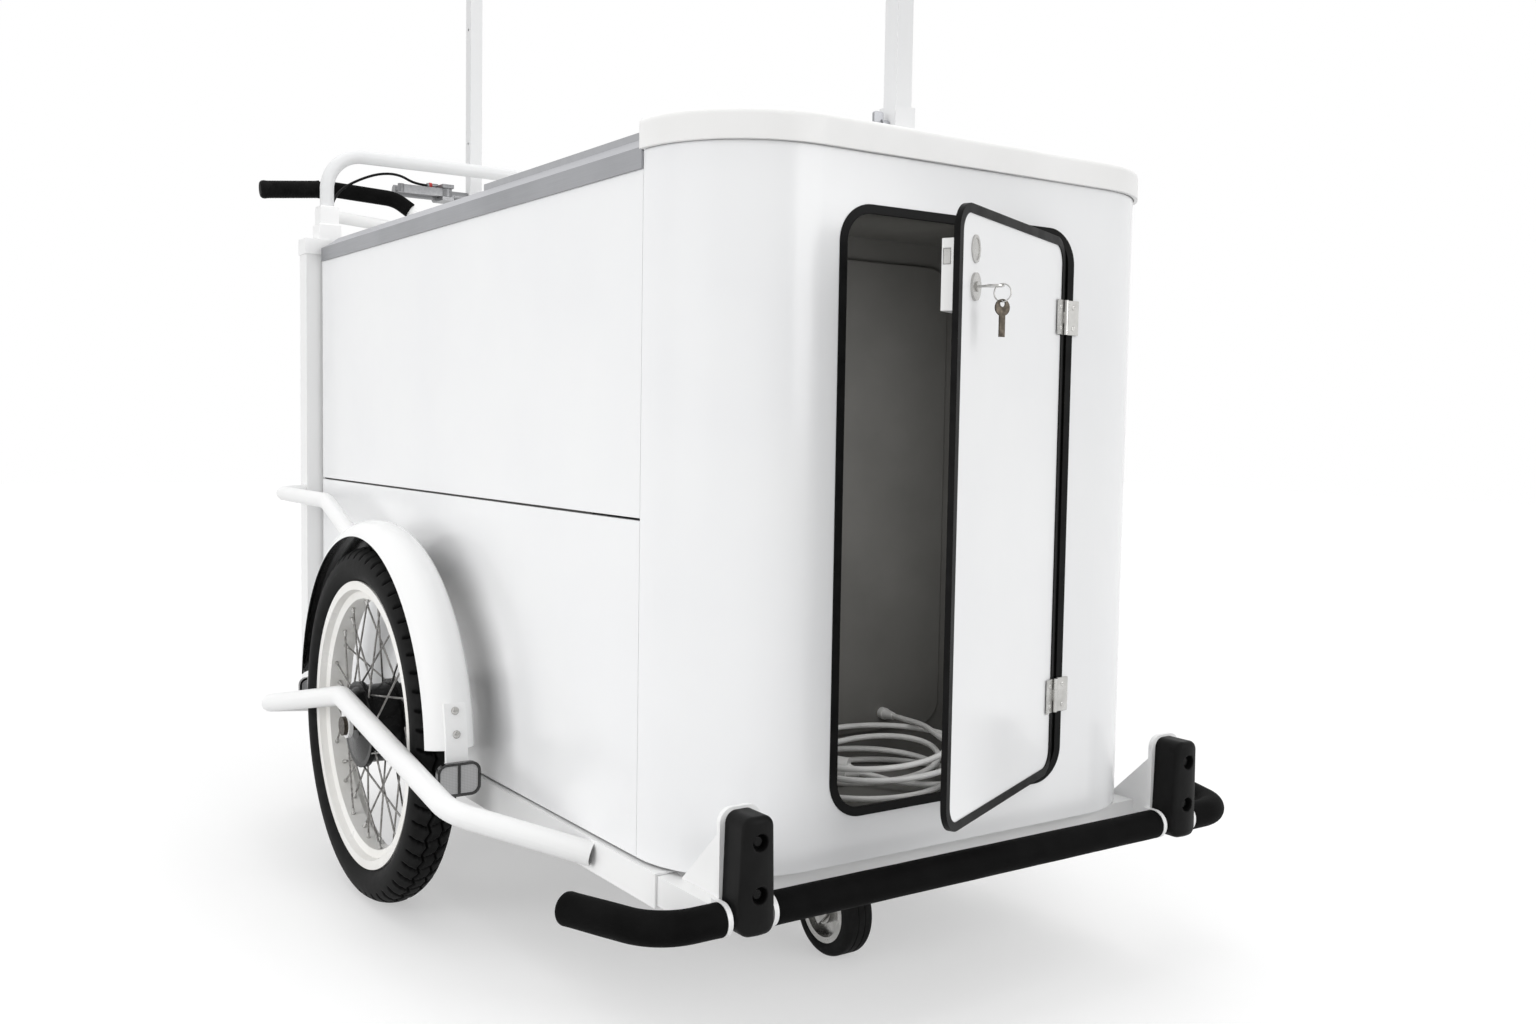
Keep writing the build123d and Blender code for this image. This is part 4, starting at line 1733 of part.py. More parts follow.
def make_cable():
    """Brake cable from the lever, down behind the cabinet, forward under it and out to the brake arm."""
    start = cable_start()
    post_inside = -POST_OUTSIDE + POST
    run_x = post_inside + CABLE_OFF_POST
    run_back = POST_BACK + CABLE_OFF_POST
    under = RAIL_BOTTOM - CABLE_DROP
    arm_x, arm_back, arm_level = brake_arm_eye()
    points = [
        start,
        at(start.X - CABLE_LOOP_OUT, POLE_REAR_BACK - CABLE_LOOP_AHEAD, start.Z + CABLE_LOOP_RISE),
        at(-SOCKET_X + CABLE_FALL_IN, POLE_REAR_BACK - CABLE_FALL_AHEAD, start.Z - CABLE_FALL_DROP),
        at(-SOCKET_X + CABLE_POST_IN, POST_BACK + CABLE_POST_BEHIND, start.Z - CABLE_POST_DROP),
        at(run_x, run_back, CARRIER_LEVEL - CABLE_TOP_DROP),
        at(run_x, run_back, under + CABLE_TURN),
        at(run_x, run_back - CABLE_TURN, under),
        at(run_x, arm_back + CABLE_LEAVE, under),
        at((run_x + arm_x) / 2, arm_back + CABLE_CROSS, under + CABLE_CROSS_RISE),
        at(arm_x, arm_back + CABLE_ARRIVE, arm_level),
        at(arm_x, arm_back + BRAKE_WIRE, arm_level),
    ]
    wire = smooth_wire(points, first=Vector(-1, 0, 0), last=Vector(0, -1, 0))
    section = Plane(origin=wire @ 0, z_dir=wire % 0) * Circle(CABLE_DIAMETER / 2)
    cable = sweep(section, path=wire)
    print("brake cable length", round(wire.length, 1))
    cable += rod_y(
        BRAKE_WIRE_RADIUS, arm_back - BRAKE_WIRE, arm_back + BRAKE_WIRE + CABLE_DIAMETER, arm_x, arm_level
    )
    return {"brake_cable": [cable]}


def cable_start():
    """Outer end of the lever's cable adjuster."""
    clamp_left = LEVER_CLAMP_X - LEVER_CLAMP_WIDTH / 2
    clamp_radius = LEVER_STUB_TUBE / 2 + LEVER_CLAMP_WALL
    level = LEVER_STUB_LEVEL + LEVER_HEIGHT
    return at(clamp_left - ADJUSTER_LENGTH, POLE_REAR_BACK - clamp_radius / 2, level)


def brake_arm_eye():
    """Middle of the eye at the lower end of the brake arm: x, back and level."""
    arm_out = -WHEEL_X + HUB_HALF_WIDTH + BRAKE_PLATE_GAP + BRAKE_PLATE_SHEET + BRAKE_ARM_GAP
    return (
        arm_out + BRAKE_ARM_SHEET / 2,
        WHEEL_BACK + BRAKE_PIVOT_AHEAD,
        AXLE_LEVEL - BRAKE_PIVOT_DROP - BRAKE_ARM_LENGTH,
    )


def main():
    """Builds every node and writes each as one file."""
    os.makedirs("parts", exist_ok=True)
    nodes = {}
    makers = (
        make_chassis,
        make_cabinet,
        make_compartment,
        make_door,
        make_hinges,
        make_lock,
        make_top,
        make_freezer,
        make_rear_frame,
        make_hoop,
        make_poles,
        make_handlebar,
        make_brake_lever,
        make_axles,
        make_guards,
        make_reflectors,
        make_bumper,
        make_caster,
        make_lead,
        make_cable,
    )
    for maker in makers:
        nodes.update(maker())
    for side in (-1, 1):
        nodes.update(make_wheel(side))
    for name, pieces in nodes.items():
        solids = [solid for piece in pieces for solid in piece.solids()]
        export_step(Compound(children=solids), os.path.join("parts", f"{name}.step"))


main()
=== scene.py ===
# %% [markdown]
# # Dressing an ice cream cart
# The real cart is a white cabinet on two spoked wheels and a small caster, with a door in its front.
# Its solids are already made and come in as a fixed frame, so nothing in this lesson moves them.
# Each step below gives a solid its finish, or lays a finer surface in its place.

import bmesh
import bpy
import numpy as np
from mathutils import Matrix, Vector


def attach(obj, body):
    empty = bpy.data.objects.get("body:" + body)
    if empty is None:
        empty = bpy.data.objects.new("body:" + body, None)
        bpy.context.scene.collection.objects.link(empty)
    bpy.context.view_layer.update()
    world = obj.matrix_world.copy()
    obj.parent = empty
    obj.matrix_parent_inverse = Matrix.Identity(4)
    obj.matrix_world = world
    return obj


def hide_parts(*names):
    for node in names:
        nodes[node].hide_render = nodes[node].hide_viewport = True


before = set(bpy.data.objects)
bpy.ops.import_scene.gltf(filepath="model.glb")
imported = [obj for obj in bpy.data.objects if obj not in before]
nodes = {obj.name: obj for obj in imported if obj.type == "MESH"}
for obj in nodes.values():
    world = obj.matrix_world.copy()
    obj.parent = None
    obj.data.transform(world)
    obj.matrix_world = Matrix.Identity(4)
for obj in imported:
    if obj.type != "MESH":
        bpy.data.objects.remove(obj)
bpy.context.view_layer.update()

# %% [markdown]
# The camera stood at hip height off the cart's front left corner, so close that the poles leave the picture.
# A camera can be aimed with a constraint, but three axes and a place say the same thing in four lines.
# They were measured on the picture's straight edges, so the cart falls on the same pixels.

# %% Camera
eye = (-1.1426, -1.9260, 0.7200)
to_right = (0.82455, -0.56555, 0.01635)
to_top = (0.02151, 0.06023, 0.99795)
to_viewer = (-0.56537, -0.82251, 0.06183)
camera = bpy.data.objects.new("camera", bpy.data.cameras.new("camera"))
camera.data.sensor_width = 36.0
camera.data.lens = 32.65
rows = [(*row, 0.0) for row in (to_right, to_top, to_viewer)]
camera.matrix_world = Matrix.Translation(eye) @ Matrix((*rows, (0, 0, 0, 1))).transposed()
bpy.context.scene.collection.objects.link(camera)
bpy.context.scene.camera = camera
print("camera", [round(x, 3) for x in camera.matrix_world.translation], "lens", camera.data.lens)

# %% [markdown]
# The mains lead lies in loose turns on the floor of the compartment, with its plug inside the turns.
# A lead is one length of something bendy, so it is drawn as one smooth NURBS line with a round bevel.
# The turns come from a formula: the radius and the middle drift from turn to turn,
# and some turns stand up at the back, as an untied coil springs open.

# %% Mains lead
FRONT_FACE = -684.0


def placed(x, back, level):
    """Place on the drawing, in millimetres across, behind the front face and up, as metres in the frame."""
    x, back, level = np.broadcast_arrays(x, back, level)
    return np.stack([x, back + FRONT_FACE, level], axis=-1) / 1000.0


def loose_turns(turn):
    """Angle 12 - 360 turn degrees, radius 94.9 + 9 sin(2.1 turn) + 4.8 sin(2.3 turn + 5.6), stretched in x.

    The middle wanders by sines of the turn. Each turn lies 9.7 mm above the next and leans up at its back,
    and the upper turns spring up there by 10.9 (lean sin(0.375 pi turn + 2.2))^2 more.
    """
    angle = np.radians(12.0 - 360.0 * turn)
    above = 4.0 - turn
    lean = 0.5 + 0.5 * np.cos(angle - np.radians(30.0))
    spring = 10.9 * (lean * np.sin(0.375 * np.pi * turn + 2.2)) ** 2 * np.minimum(above, 1.0)
    radius = 94.9 + 9.0 * np.sin(2.1 * turn) + 4.8 * np.sin(2.3 * turn + 5.6)
    middle = -28.0 + 12.0 * np.sin(1.7 * turn) + 3.8 * np.sin(4.2 * turn + 5.1)
    middle_back = 132.0 + 6.0 * np.sin(2.9 * turn) + 6.3 * np.sin(3.2 * turn + 6.0)
    return placed(
        middle + 1.12 * radius * np.cos(angle),
        middle_back + radius * np.sin(angle),
        268.25 + (9.7 + 5.0 * lean) * above + spring,
    )


def open_line(name, points, thickness):
    """Round line of that thickness on one open NURBS spline of order 3 that ends on its end points.

    Tube radius = bevel_depth * point radius. The points hold the radius, so the line's box fits it closely.
    """
    curve = bpy.data.curves.new(name, "CURVE")
    curve.dimensions = "3D"
    spline = curve.splines.new("NURBS")
    spline.points.add(len(points) - 1)
    spline.points.foreach_set("co", np.column_stack([points, np.ones(len(points))]).ravel())
    spline.points.foreach_set("radius", np.full(len(points), thickness / 2))
    spline.order_u = 3
    spline.use_endpoint_u = True
    spline.resolution_u = 6
    curve.bevel_depth = 1.0
    curve.bevel_resolution = 4
    curve.use_fill_caps = True
    line = bpy.data.objects.new(name, curve)
    bpy.context.scene.collection.objects.link(line)
    return line


lead_exit = placed(84.0, 228.0, 322.0)
plug_end = placed(-53.5, 127.7, 281.5)
plug_way = np.array([-0.635, 0.768, 0.084])
POINTS_PER_TURN = 12
route = np.vstack(
    [
        lead_exit,
        lead_exit + (0.0, -0.03, 0.0),
        placed(79.0, 156.0, 323.0),
        placed(61.0, 110.0, 320.0),
        loose_turns(np.arange(2, 4 * POINTS_PER_TURN + 1) / POINTS_PER_TURN),
        placed(78.0, 99.0, 268.6),
        placed(47.0, 63.0, 269.9),
        placed(4.0, 60.0, 273.3),
        placed(-30.0, 84.0, 276.0),
        plug_end - 0.02 * plug_way,
        plug_end,
    ]
)
lead = open_line("lead_in_turns", route, 0.0075)
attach(lead, "cart")
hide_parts("mains_lead")
print("lead drawn on", len(route), "points")

# %% [markdown]
# The studio is a pale floor under a white sky, with soft light from above and from both sides.
# A white background could come from strong lamps, but those would wash out a white cart.
# So the sky is only made bright for the rays that look at it, and it lights the cart at a plain level.

# %% Sky
SKY_LIGHT = 0.66


def worked(tree, operation, *values):
    """One math step on numbers or node outputs."""
    step = tree.nodes.new("ShaderNodeMath")
    step.operation = operation
    for socket, value in zip(step.inputs, values):
        if isinstance(value, float):
            socket.default_value = value
        else:
            tree.links.new(value, socket)
    return step.outputs[0]


def between(tree, value, low, high, start=0.3, stop=0.7, ease="LINEAR"):
    """Number that goes from low to high as value goes from start to stop, evenly or eased at both ends."""
    spread = tree.nodes.new("ShaderNodeMapRange")
    spread.interpolation_type = ease
    spread.inputs["From Min"].default_value = start
    spread.inputs["From Max"].default_value = stop
    spread.inputs["To Min"].default_value = low
    spread.inputs["To Max"].default_value = high
    tree.links.new(value, spread.inputs["Value"])
    return spread.outputs["Result"]


def seen_rays(tree):
    """1 for rays that look at a surface, straight, mirrored or through glass, and 0 for lighting rays."""
    ray = tree.nodes.new("ShaderNodeLightPath").outputs
    straight_or_mirrored = worked(tree, "MAXIMUM", ray["Is Camera Ray"], ray["Is Glossy Ray"])
    return worked(tree, "MAXIMUM", straight_or_mirrored, ray["Is Transmission Ray"])


world = bpy.data.worlds.new("sky")
world.use_nodes = True
bpy.context.scene.world = world
sky = world.node_tree
background = sky.nodes["Background"]
background.inputs["Color"].default_value = (1.0, 1.0, 1.0, 1.0)
strength = between(sky, seen_rays(sky), SKY_LIGHT, 1.0, start=0.0, stop=1.0)
sky.links.new(strength, background.inputs["Strength"])
print("sky light", SKY_LIGHT)

# %% [markdown]
# The floor is one large square that glows, again only for the rays that look at it.
# Near the cart it keeps a grey of its own, so that it takes a shadow.
# Further out the grey gives way to the glow, so no edge of the floor shows against the sky.

# %% Studio floor
FLOOR_REACH = 14.0
FLOOR_GLOW = 0.42
FADE_START = 1.2
FADE_STOP = 4.5

across = np.array([-1.0, 1.0, 1.0, -1.0]) * FLOOR_REACH
along = np.array([-1.0, -1.0, 1.0, 1.0]) * FLOOR_REACH
floor_mesh = bpy.data.meshes.new("studio_floor")
floor_mesh.from_pydata(np.column_stack([across, along, np.zeros(4)]).tolist(), [], [(0, 1, 2, 3)])
floor = bpy.data.objects.new("studio_floor", floor_mesh)
bpy.context.scene.collection.objects.link(floor)
pale = bpy.data.materials.new("pale_floor")
pale.use_nodes = True
tree = pale.node_tree
shader = tree.nodes["Principled BSDF"]
shader.inputs["Roughness"].default_value = 0.8
shader.inputs["Specular IOR Level"].default_value = 0.1
shader.inputs["Emission Color"].default_value = (1.0, 1.0, 1.0, 1.0)
spot = tree.nodes.new("ShaderNodeTexCoord")
distance = tree.nodes.new("ShaderNodeVectorMath")
distance.operation = "LENGTH"
tree.links.new(spot.outputs["Object"], distance.inputs[0])
fade = between(tree, distance.outputs["Value"], FLOOR_GLOW, 1.0, FADE_START, FADE_STOP, ease="SMOOTHSTEP")
tree.links.new(worked(tree, "MULTIPLY", seen_rays(tree), fade), shader.inputs["Emission Strength"])
tree.links.new(between(tree, fade, 0.6, 0.05, FLOOR_GLOW, 1.0), shader.inputs["Base Color"])
floor_mesh.materials.append(pale)
print("floor", 2 * FLOOR_REACH, "m wide")

# %% [markdown]
# Large lamps give a white cart soft shadows, so that its rounded corners read as round.
# The open compartment would stay dim behind its door, because the lamps outside light its front far more.
# So a weak lamp stands in its mouth and shines inwards, and the pale lead stands out from the dark liner.

# %% Lamps
bpy.context.scene.view_settings.view_transform = "Standard"


def soft_lamp(name, place, target, size, power, mirrored):
    """Lamp of that width and height, its -Z axis turned to its target; bright metal may show it mirrored."""
    lamp = bpy.data.lights.new(name, "AREA")
    lamp.shape = "RECTANGLE"
    lamp.size, lamp.size_y = size
    lamp.energy = power
    held = bpy.data.objects.new(name, lamp)
    held.visible_glossy = mirrored
    held.location = place
    held.rotation_euler = (Vector(target) - Vector(place)).to_track_quat("-Z", "Y").to_euler()
    bpy.context.scene.collection.objects.link(held)


soft_lamp("overhead", (0.2, 0.2, 4.2), (0.0, 0.0, 0.5), size=(4.0, 4.0), power=70.0, mirrored=False)
soft_lamp("left_side", (-4.2, -0.6, 1.4), (0.0, 0.2, 0.5), size=(2.6, 2.6), power=66.0, mirrored=False)
soft_lamp("front", (1.6, -4.6, 2.0), (0.0, -0.4, 0.6), size=(2.6, 2.6), power=68.0, mirrored=True)
soft_lamp(
    "compartment", (-0.02, -0.665, 0.64), (-0.02, -0.44, 0.6), size=(0.2, 0.52), power=0.42, mirrored=False
)

# %% [markdown]
# Most of the cart is white, yet the whites differ: smooth panels, moulded plastic, powder paint on tubes.
# A finish could be painted as a picture, but a picture has a seam and a size.
# Noise that reads the place in space has neither, so every finish here is built from nodes.
# The helpers below only wire such nodes together, and plain values go straight on the shader.

# %% Helpers for finishes


def new_finish(name, colour, roughness, metallic=0.0):
    """Material with its Principled shader; a value that is the same all over is set on its own socket."""
    finish = bpy.data.materials.new(name)
    finish.use_nodes = True
    shader = finish.node_tree.nodes["Principled BSDF"]
    shader.inputs["Base Color"].default_value = (*colour, 1.0)
    shader.inputs["Roughness"].default_value = roughness
    shader.inputs["Metallic"].default_value = metallic
    return finish, finish.node_tree, shader


def noise_in_place(tree, scale, detail=3.0, stretch=(1.0, 1.0, 1.0)):
    """Noise of so many waves a metre on Object coordinates, each axis scaled by stretch."""
    place = tree.nodes.new("ShaderNodeTexCoord")
    mapping = tree.nodes.new("ShaderNodeMapping")
    mapping.inputs["Scale"].default_value = stretch
    noise = tree.nodes.new("ShaderNodeTexNoise")
    noise.inputs["Scale"].default_value = scale
    noise.inputs["Detail"].default_value = detail
    tree.links.new(place.outputs["Object"], mapping.inputs["Vector"])
    tree.links.new(mapping.outputs["Vector"], noise.inputs["Vector"])
    return noise.outputs["Fac"]


def two_tones(tree, value, dark, light, start=0.3, stop=0.7):
    """Colour that goes from dark to light as value goes from start to stop."""
    ramp = tree.nodes.new("ShaderNodeValToRGB")
    ramp.color_ramp.elements[0].position = start
    ramp.color_ramp.elements[1].position = stop
    ramp.color_ramp.elements[0].color = (*dark, 1.0)
    ramp.color_ramp.elements[1].color = (*light, 1.0)
    tree.links.new(value, ramp.inputs["Fac"])
    return ramp.outputs["Color"]


def vary(tree, shader, value, dark, light, roughness):
    """Colour from dark to light and roughness from its first to its second number, by the same value."""
    tree.links.new(two_tones(tree, value, dark, light), shader.inputs["Base Color"])
    tree.links.new(between(tree, value, *roughness), shader.inputs["Roughness"])


def relief(tree, shader, height, depth, soft_edge=0.0):
    """Bumps of that depth in metres from a height between 0 and 1, over edges rounded by soft_edge."""
    bump = tree.nodes.new("ShaderNodeBump")
    bump.inputs["Distance"].default_value = depth
    tree.links.new(height, bump.inputs["Height"])
    if soft_edge:
        rounded = tree.nodes.new("ShaderNodeBevel")
        rounded.samples = 4
        rounded.inputs["Radius"].default_value = soft_edge
        tree.links.new(rounded.outputs["Normal"], bump.inputs["Normal"])
    tree.links.new(bump.outputs["Normal"], shader.inputs["Normal"])


def dress(finish, *names):
    """Puts one finish on the named solids in place of what they came with."""
    for name in names:
        worn = nodes[name].data.materials
        worn.clear()
        worn.append(finish)
    print(finish.name, "on", ", ".join(names))


print("helpers ready")

# %% [markdown]
# The panels, the front shell and the door are smooth white sheet with a wiped, glossy face.
# Seen from close by, such a sheet is never one white: it has a faint cloudiness and soft handling marks.
# A wide noise moves the colour and the gloss a little, and a fine one gives the lacquer its slight ripple.

# %% White sheet
sheet, tree, shader = new_finish("white_sheet", (0.9, 0.905, 0.91), 0.2)
clouds = two_tones(tree, noise_in_place(tree, 5.0), (0.885, 0.89, 0.9), (0.91, 0.915, 0.92))
tree.links.new(clouds, shader.inputs["Base Color"])
handling = noise_in_place(tree, 34.0, detail=5.0)
tree.links.new(between(tree, handling, 0.19, 0.23), shader.inputs["Roughness"])
relief(tree, shader, noise_in_place(tree, 260.0, detail=1.0), 0.00002, soft_edge=0.0012)
dress(sheet, "front_shell", "side_panels", "rear_panel", "door_panel")

# %% [markdown]
# The cap on top is a moulding, a little warmer and duller than the sheet, with the faint grain of its mould.
# The lock case is of the same plastic.

# %% White moulding
moulding, tree, shader = new_finish("white_moulding", (0.89, 0.888, 0.88), 0.34)
clouds = two_tones(tree, noise_in_place(tree, 9.0), (0.87, 0.868, 0.858), (0.905, 0.902, 0.896))
tree.links.new(clouds, shader.inputs["Base Color"])
tree.links.new(between(tree, noise_in_place(tree, 60.0), 0.3, 0.4), shader.inputs["Roughness"])
relief(tree, shader, noise_in_place(tree, 900.0, detail=2.0), 0.00002, soft_edge=0.0015)
dress(moulding, "front_cap", "lock_case")

# %% [markdown]
# Tubes, brackets and the chassis are steel with white powder paint, baked on.
# Powder paint flows into tiny hills like orange peel, and it rubs thin where hands and shoes touch it.
# The hills are a noise of about 350 waves a metre, and the rubbing only changes gloss and tone.

# %% Powder paint
powder, tree, shader = new_finish("powder_white", (0.9, 0.902, 0.9), 0.28)
tone_shift = noise_in_place(tree, 12.0, detail=3.0)
vary(tree, shader, tone_shift, (0.885, 0.886, 0.883), (0.893, 0.895, 0.894), (0.34, 0.28))
relief(tree, shader, noise_in_place(tree, 350.0, detail=1.0), 0.000003)
dress(
    powder,
    "chassis_rails",
    "chassis_cross_members",
    "rear_frame",
    "guard_rail_left",
    "guard_rail_right",
    "reflector_brackets",
    "bumper_frame",
    "handlebar",
)

# %% [markdown]
# The canopy poles, their sockets and the rear hoop are drawn tube in the same white paint, here a greyer
# copy of it as painted shade, so they stand less bright than the lower tubes.
# The drawing lines of the tube still show as a faint upright grain in the gloss.

# %% Poles in a greyer white, as painted shade
pole_shaded_white, tree, shader = new_finish("pole_white_painted_shade", (0.76, 0.765, 0.77), 0.36)
drawn = noise_in_place(tree, 700.0, detail=2.0, stretch=(1.0, 1.0, 0.01))
# A greyer copy of the white paint: painted shade for these high parts.
pole_shade_tones = two_tones(tree, noise_in_place(tree, 6.0), (0.755, 0.76, 0.765), (0.77, 0.775, 0.78))
tree.links.new(pole_shade_tones, shader.inputs["Base Color"])
tree.links.new(between(tree, drawn, 0.32, 0.42), shader.inputs["Roughness"])
dress(pole_shaded_white, "pole_sockets", "pole_front", "pole_rear", "rear_hoop")

# %% [markdown]
# A mudguard is a thin glossy white moulding, and its underside, which faces the tyre, is painted near black
# as shade.
# Two pieces could be made, but one finish can tell the sides apart:
# on the outer face the surface points away from the axle, and underneath it points at the axle.

# %% Mudguards, white above with painted shade below
AXLE_BACK = 796.0
AXLE_LEVEL = 265.0
AXLE = placed(0.0, AXLE_BACK, AXLE_LEVEL)


def faces_away(tree, middle):
    """Positive where a surface points away from the line along X through middle, negative where at it."""
    spot = tree.nodes.new("ShaderNodeTexCoord")
    arm = tree.nodes.new("ShaderNodeVectorMath")
    arm.operation = "SUBTRACT"
    arm.inputs[1].default_value = tuple(middle)
    tree.links.new(spot.outputs["Object"], arm.inputs[0])
    flat = tree.nodes.new("ShaderNodeVectorMath")
    flat.operation = "MULTIPLY"
    flat.inputs[1].default_value = (0.0, 1.0, 1.0)
    tree.links.new(arm.outputs[0], flat.inputs[0])
    along = tree.nodes.new("ShaderNodeVectorMath")
    along.operation = "DOT_PRODUCT"
    tree.links.new(flat.outputs[0], along.inputs[0])
    tree.links.new(spot.outputs["Normal"], along.inputs[1])
    return along.outputs["Value"]


guard, tree, shader = new_finish("mudguard_white", (0.9, 0.902, 0.9), 0.16)
# Surfaces that face the axle are painted near black: the shade under the mudguard.
white_over_painted_shade = two_tones(tree, faces_away(tree, AXLE), (0.02, 0.02, 0.02), (0.9, 0.902, 0.9), 0.0, 0.02)
tree.links.new(white_over_painted_shade, shader.inputs["Base Color"])
tree.links.new(between(tree, noise_in_place(tree, 12.0), 0.13, 0.2), shader.inputs["Roughness"])
relief(tree, shader, noise_in_place(tree, 240.0, detail=1.0), 0.00001, soft_edge=0.0008)
dress(guard, "mudguard_left", "mudguard_right")

# %% [markdown]
# The rims are painted too, in a creamy white that has picked up a little road dust in the well.
# The dust is a wide noise that tints the paint.

# %% Rims
rim_paint, tree, shader = new_finish("rim_cream", (0.9, 0.89, 0.865), 0.3)
dust = noise_in_place(tree, 14.0, detail=4.0)
vary(tree, shader, dust, (0.85, 0.836, 0.8), (0.92, 0.912, 0.89), (0.4, 0.26))
relief(tree, shader, noise_in_place(tree, 420.0, detail=2.0), 0.00002, soft_edge=0.0008)
dress(rim_paint, "rim_left", "rim_right")

# %% [markdown]
# The lid rails are drawn aluminium with a satin grain that runs along them.
# The freezer tub and the knob that clamps a pole are of the same metal.
# Grain is noise pulled out a hundredfold along one axis.
# Tops are painted lighter and upright sides darker, as painted light and shade,
# so the tone follows how far the surface faces up, smeared a little by a wide noise.

# %% Aluminium


def along_axes(tree, source):
    """X, Y and Z of a place, for the source Object, or of the way a surface faces, for Normal."""
    spot = tree.nodes.new("ShaderNodeTexCoord")
    apart = tree.nodes.new("ShaderNodeSeparateXYZ")
    tree.links.new(spot.outputs[source], apart.inputs[0])
    return [apart.outputs[axis] for axis in "XYZ"]


aluminium, tree, shader = new_finish("satin_aluminium", (0.46, 0.465, 0.48), 0.45, metallic=0.9)
grain = noise_in_place(tree, 900.0, detail=2.0, stretch=(1.0, 0.012, 1.0))
# Faces that point up are painted lighter and upright faces darker: painted light and shade.
facing_up = along_axes(tree, "Normal")[2]
tone_shift = worked(tree, "MULTIPLY_ADD", noise_in_place(tree, 7.0, detail=4.0), 0.4, facing_up)
tones = two_tones(tree, tone_shift, (0.34, 0.345, 0.36), (0.54, 0.545, 0.57), 0.1, 0.8)
tree.links.new(tones, shader.inputs["Base Color"])
tree.links.new(between(tree, grain, 0.4, 0.52), shader.inputs["Roughness"])
relief(tree, shader, grain, 0.00002, soft_edge=0.0008)
dress(aluminium, "top_rails", "freezer_tub", "clamp_knob")

# %% [markdown]
# Each sliding lid is a white plastic panel in an aluminium frame, and the frame runs in the rails.
# The panel's white is painted greyer, as shade, because the panel faces straight up at the overhead lamp.
# The frame is a strip of even width, so the distance from the lid's long edges tells it from the panel.

# %% Framed lids
LID_FRAME_WIDTH = 0.016
LID_HALF_WIDTHS = {"lid_front": 0.3415, "lid_rear": 0.3215}


def blend(tree, share, under, over):
    """Colour that goes from the one under to a plain colour over it as share goes from 0 to 1."""
    mix = tree.nodes.new("ShaderNodeMix")
    mix.data_type = "RGBA"
    factor, first, second = mix.inputs[0], mix.inputs[6], mix.inputs[7]
    second.default_value = (*over, 1.0)
    tree.links.new(share, factor)
    tree.links.new(under, first)
    return mix.outputs[2]


for name, half_width in LID_HALF_WIDTHS.items():
    lid, tree, shader = new_finish(f"framed_{name}", (0.76, 0.758, 0.75), 0.34)
    across = worked(tree, "ABSOLUTE", along_axes(tree, "Object")[0])
    framed = worked(tree, "GREATER_THAN", across, half_width - LID_FRAME_WIDTH)
    # Greyer white for the panel: painted shade on a face that looks up.
    panel = two_tones(tree, noise_in_place(tree, 9.0), (0.74, 0.738, 0.73), (0.78, 0.778, 0.77))
    tree.links.new(blend(tree, framed, panel, (0.4, 0.405, 0.42)), shader.inputs["Base Color"])
    tree.links.new(between(tree, framed, 0.0, 0.9, 0.0, 1.0), shader.inputs["Metallic"])
    tree.links.new(between(tree, noise_in_place(tree, 60.0), 0.3, 0.42), shader.inputs["Roughness"])
    relief(tree, shader, noise_in_place(tree, 900.0, detail=2.0), 0.00002, soft_edge=0.001)
    dress(lid, name)

# %% [markdown]
# The hinges, the lock and its key, the caster and the brake arm are plated steel.
# Plating is smoother than the aluminium and shows small blotches, with finger grease in the gloss.

# %% Bright metal
bright, tree, shader = new_finish("plated_steel", (0.5, 0.495, 0.48), 0.28, metallic=1.0)
blotches = noise_in_place(tree, 60.0, detail=4.0)
vary(tree, shader, blotches, (0.43, 0.425, 0.41), (0.56, 0.555, 0.54), (0.34, 0.22))
relief(tree, shader, noise_in_place(tree, 700.0, detail=2.0), 0.00001, soft_edge=0.0004)
dress(
    bright,
    "shell_hinge_leaves",
    "door_hinge_leaves",
    "door_fittings",
    "lock_bolt",
    "door_key",
    "caster_plate",
    "caster_fork",
    "caster_wheel",
    "brake_arm",
)

# %% [markdown]
# The brake lever and its clamp are cast and then tumbled with stones, so they are greyer and duller.
# One dense noise is enough here: it speckles the tone, moves the gloss and roughens the face together.

# %% Cast lever
cast, tree, shader = new_finish("cast_grey", (0.26, 0.262, 0.27), 0.4, metallic=0.85)
tumbled = noise_in_place(tree, 320.0, detail=4.0)
vary(tree, shader, tumbled, (0.25, 0.252, 0.26), (0.29, 0.292, 0.3), (0.42, 0.36))
relief(tree, shader, tumbled, 0.00001, soft_edge=0.0006)
dress(cast, "brake_lever", "brake_lever_mount")

# %% [markdown]
# The spare key and the axle ends are brown: brass that has darkened in pockets and in the weather.
# The spokes are plain wire, weathered to greys that change along each one.

# %% Dark brass and spoke steel
brass, tree, shader = new_finish("dark_brass", (0.06, 0.051, 0.04), 0.4, metallic=0.9)
tarnish = noise_in_place(tree, 260.0, detail=5.0)
vary(tree, shader, tarnish, (0.035, 0.03, 0.024), (0.085, 0.072, 0.057), (0.5, 0.3))
relief(tree, shader, tarnish, 0.00003, soft_edge=0.0003)
dress(brass, "spare_key", "wheel_axles")

spoke_steel, tree, shader = new_finish("spoke_steel", (0.34, 0.335, 0.325), 0.3, metallic=1.0)
weathered = noise_in_place(tree, 180.0, detail=4.0)
vary(tree, shader, weathered, (0.16, 0.152, 0.144), (0.36, 0.355, 0.345), (0.45, 0.22))
dress(spoke_steel, "spokes_left", "spokes_right")

# %% [markdown]
# Black trim runs round the door and its opening: soft extruded rubber with a satin face.
# Thick rubber blocks stand on the bumper, and the tyres are rubber too, each with its own grain.
# Rubber filled with soot throws back only about a hundredth of the light, so its reflection is turned down.
# The rubber's tone drifts a little at random, and the grooves are painted near black as shade, more so the
# deeper they are:
# the tyre's mesh carries its groove depth, and the finish reads it as an attribute.

# %% Rubber


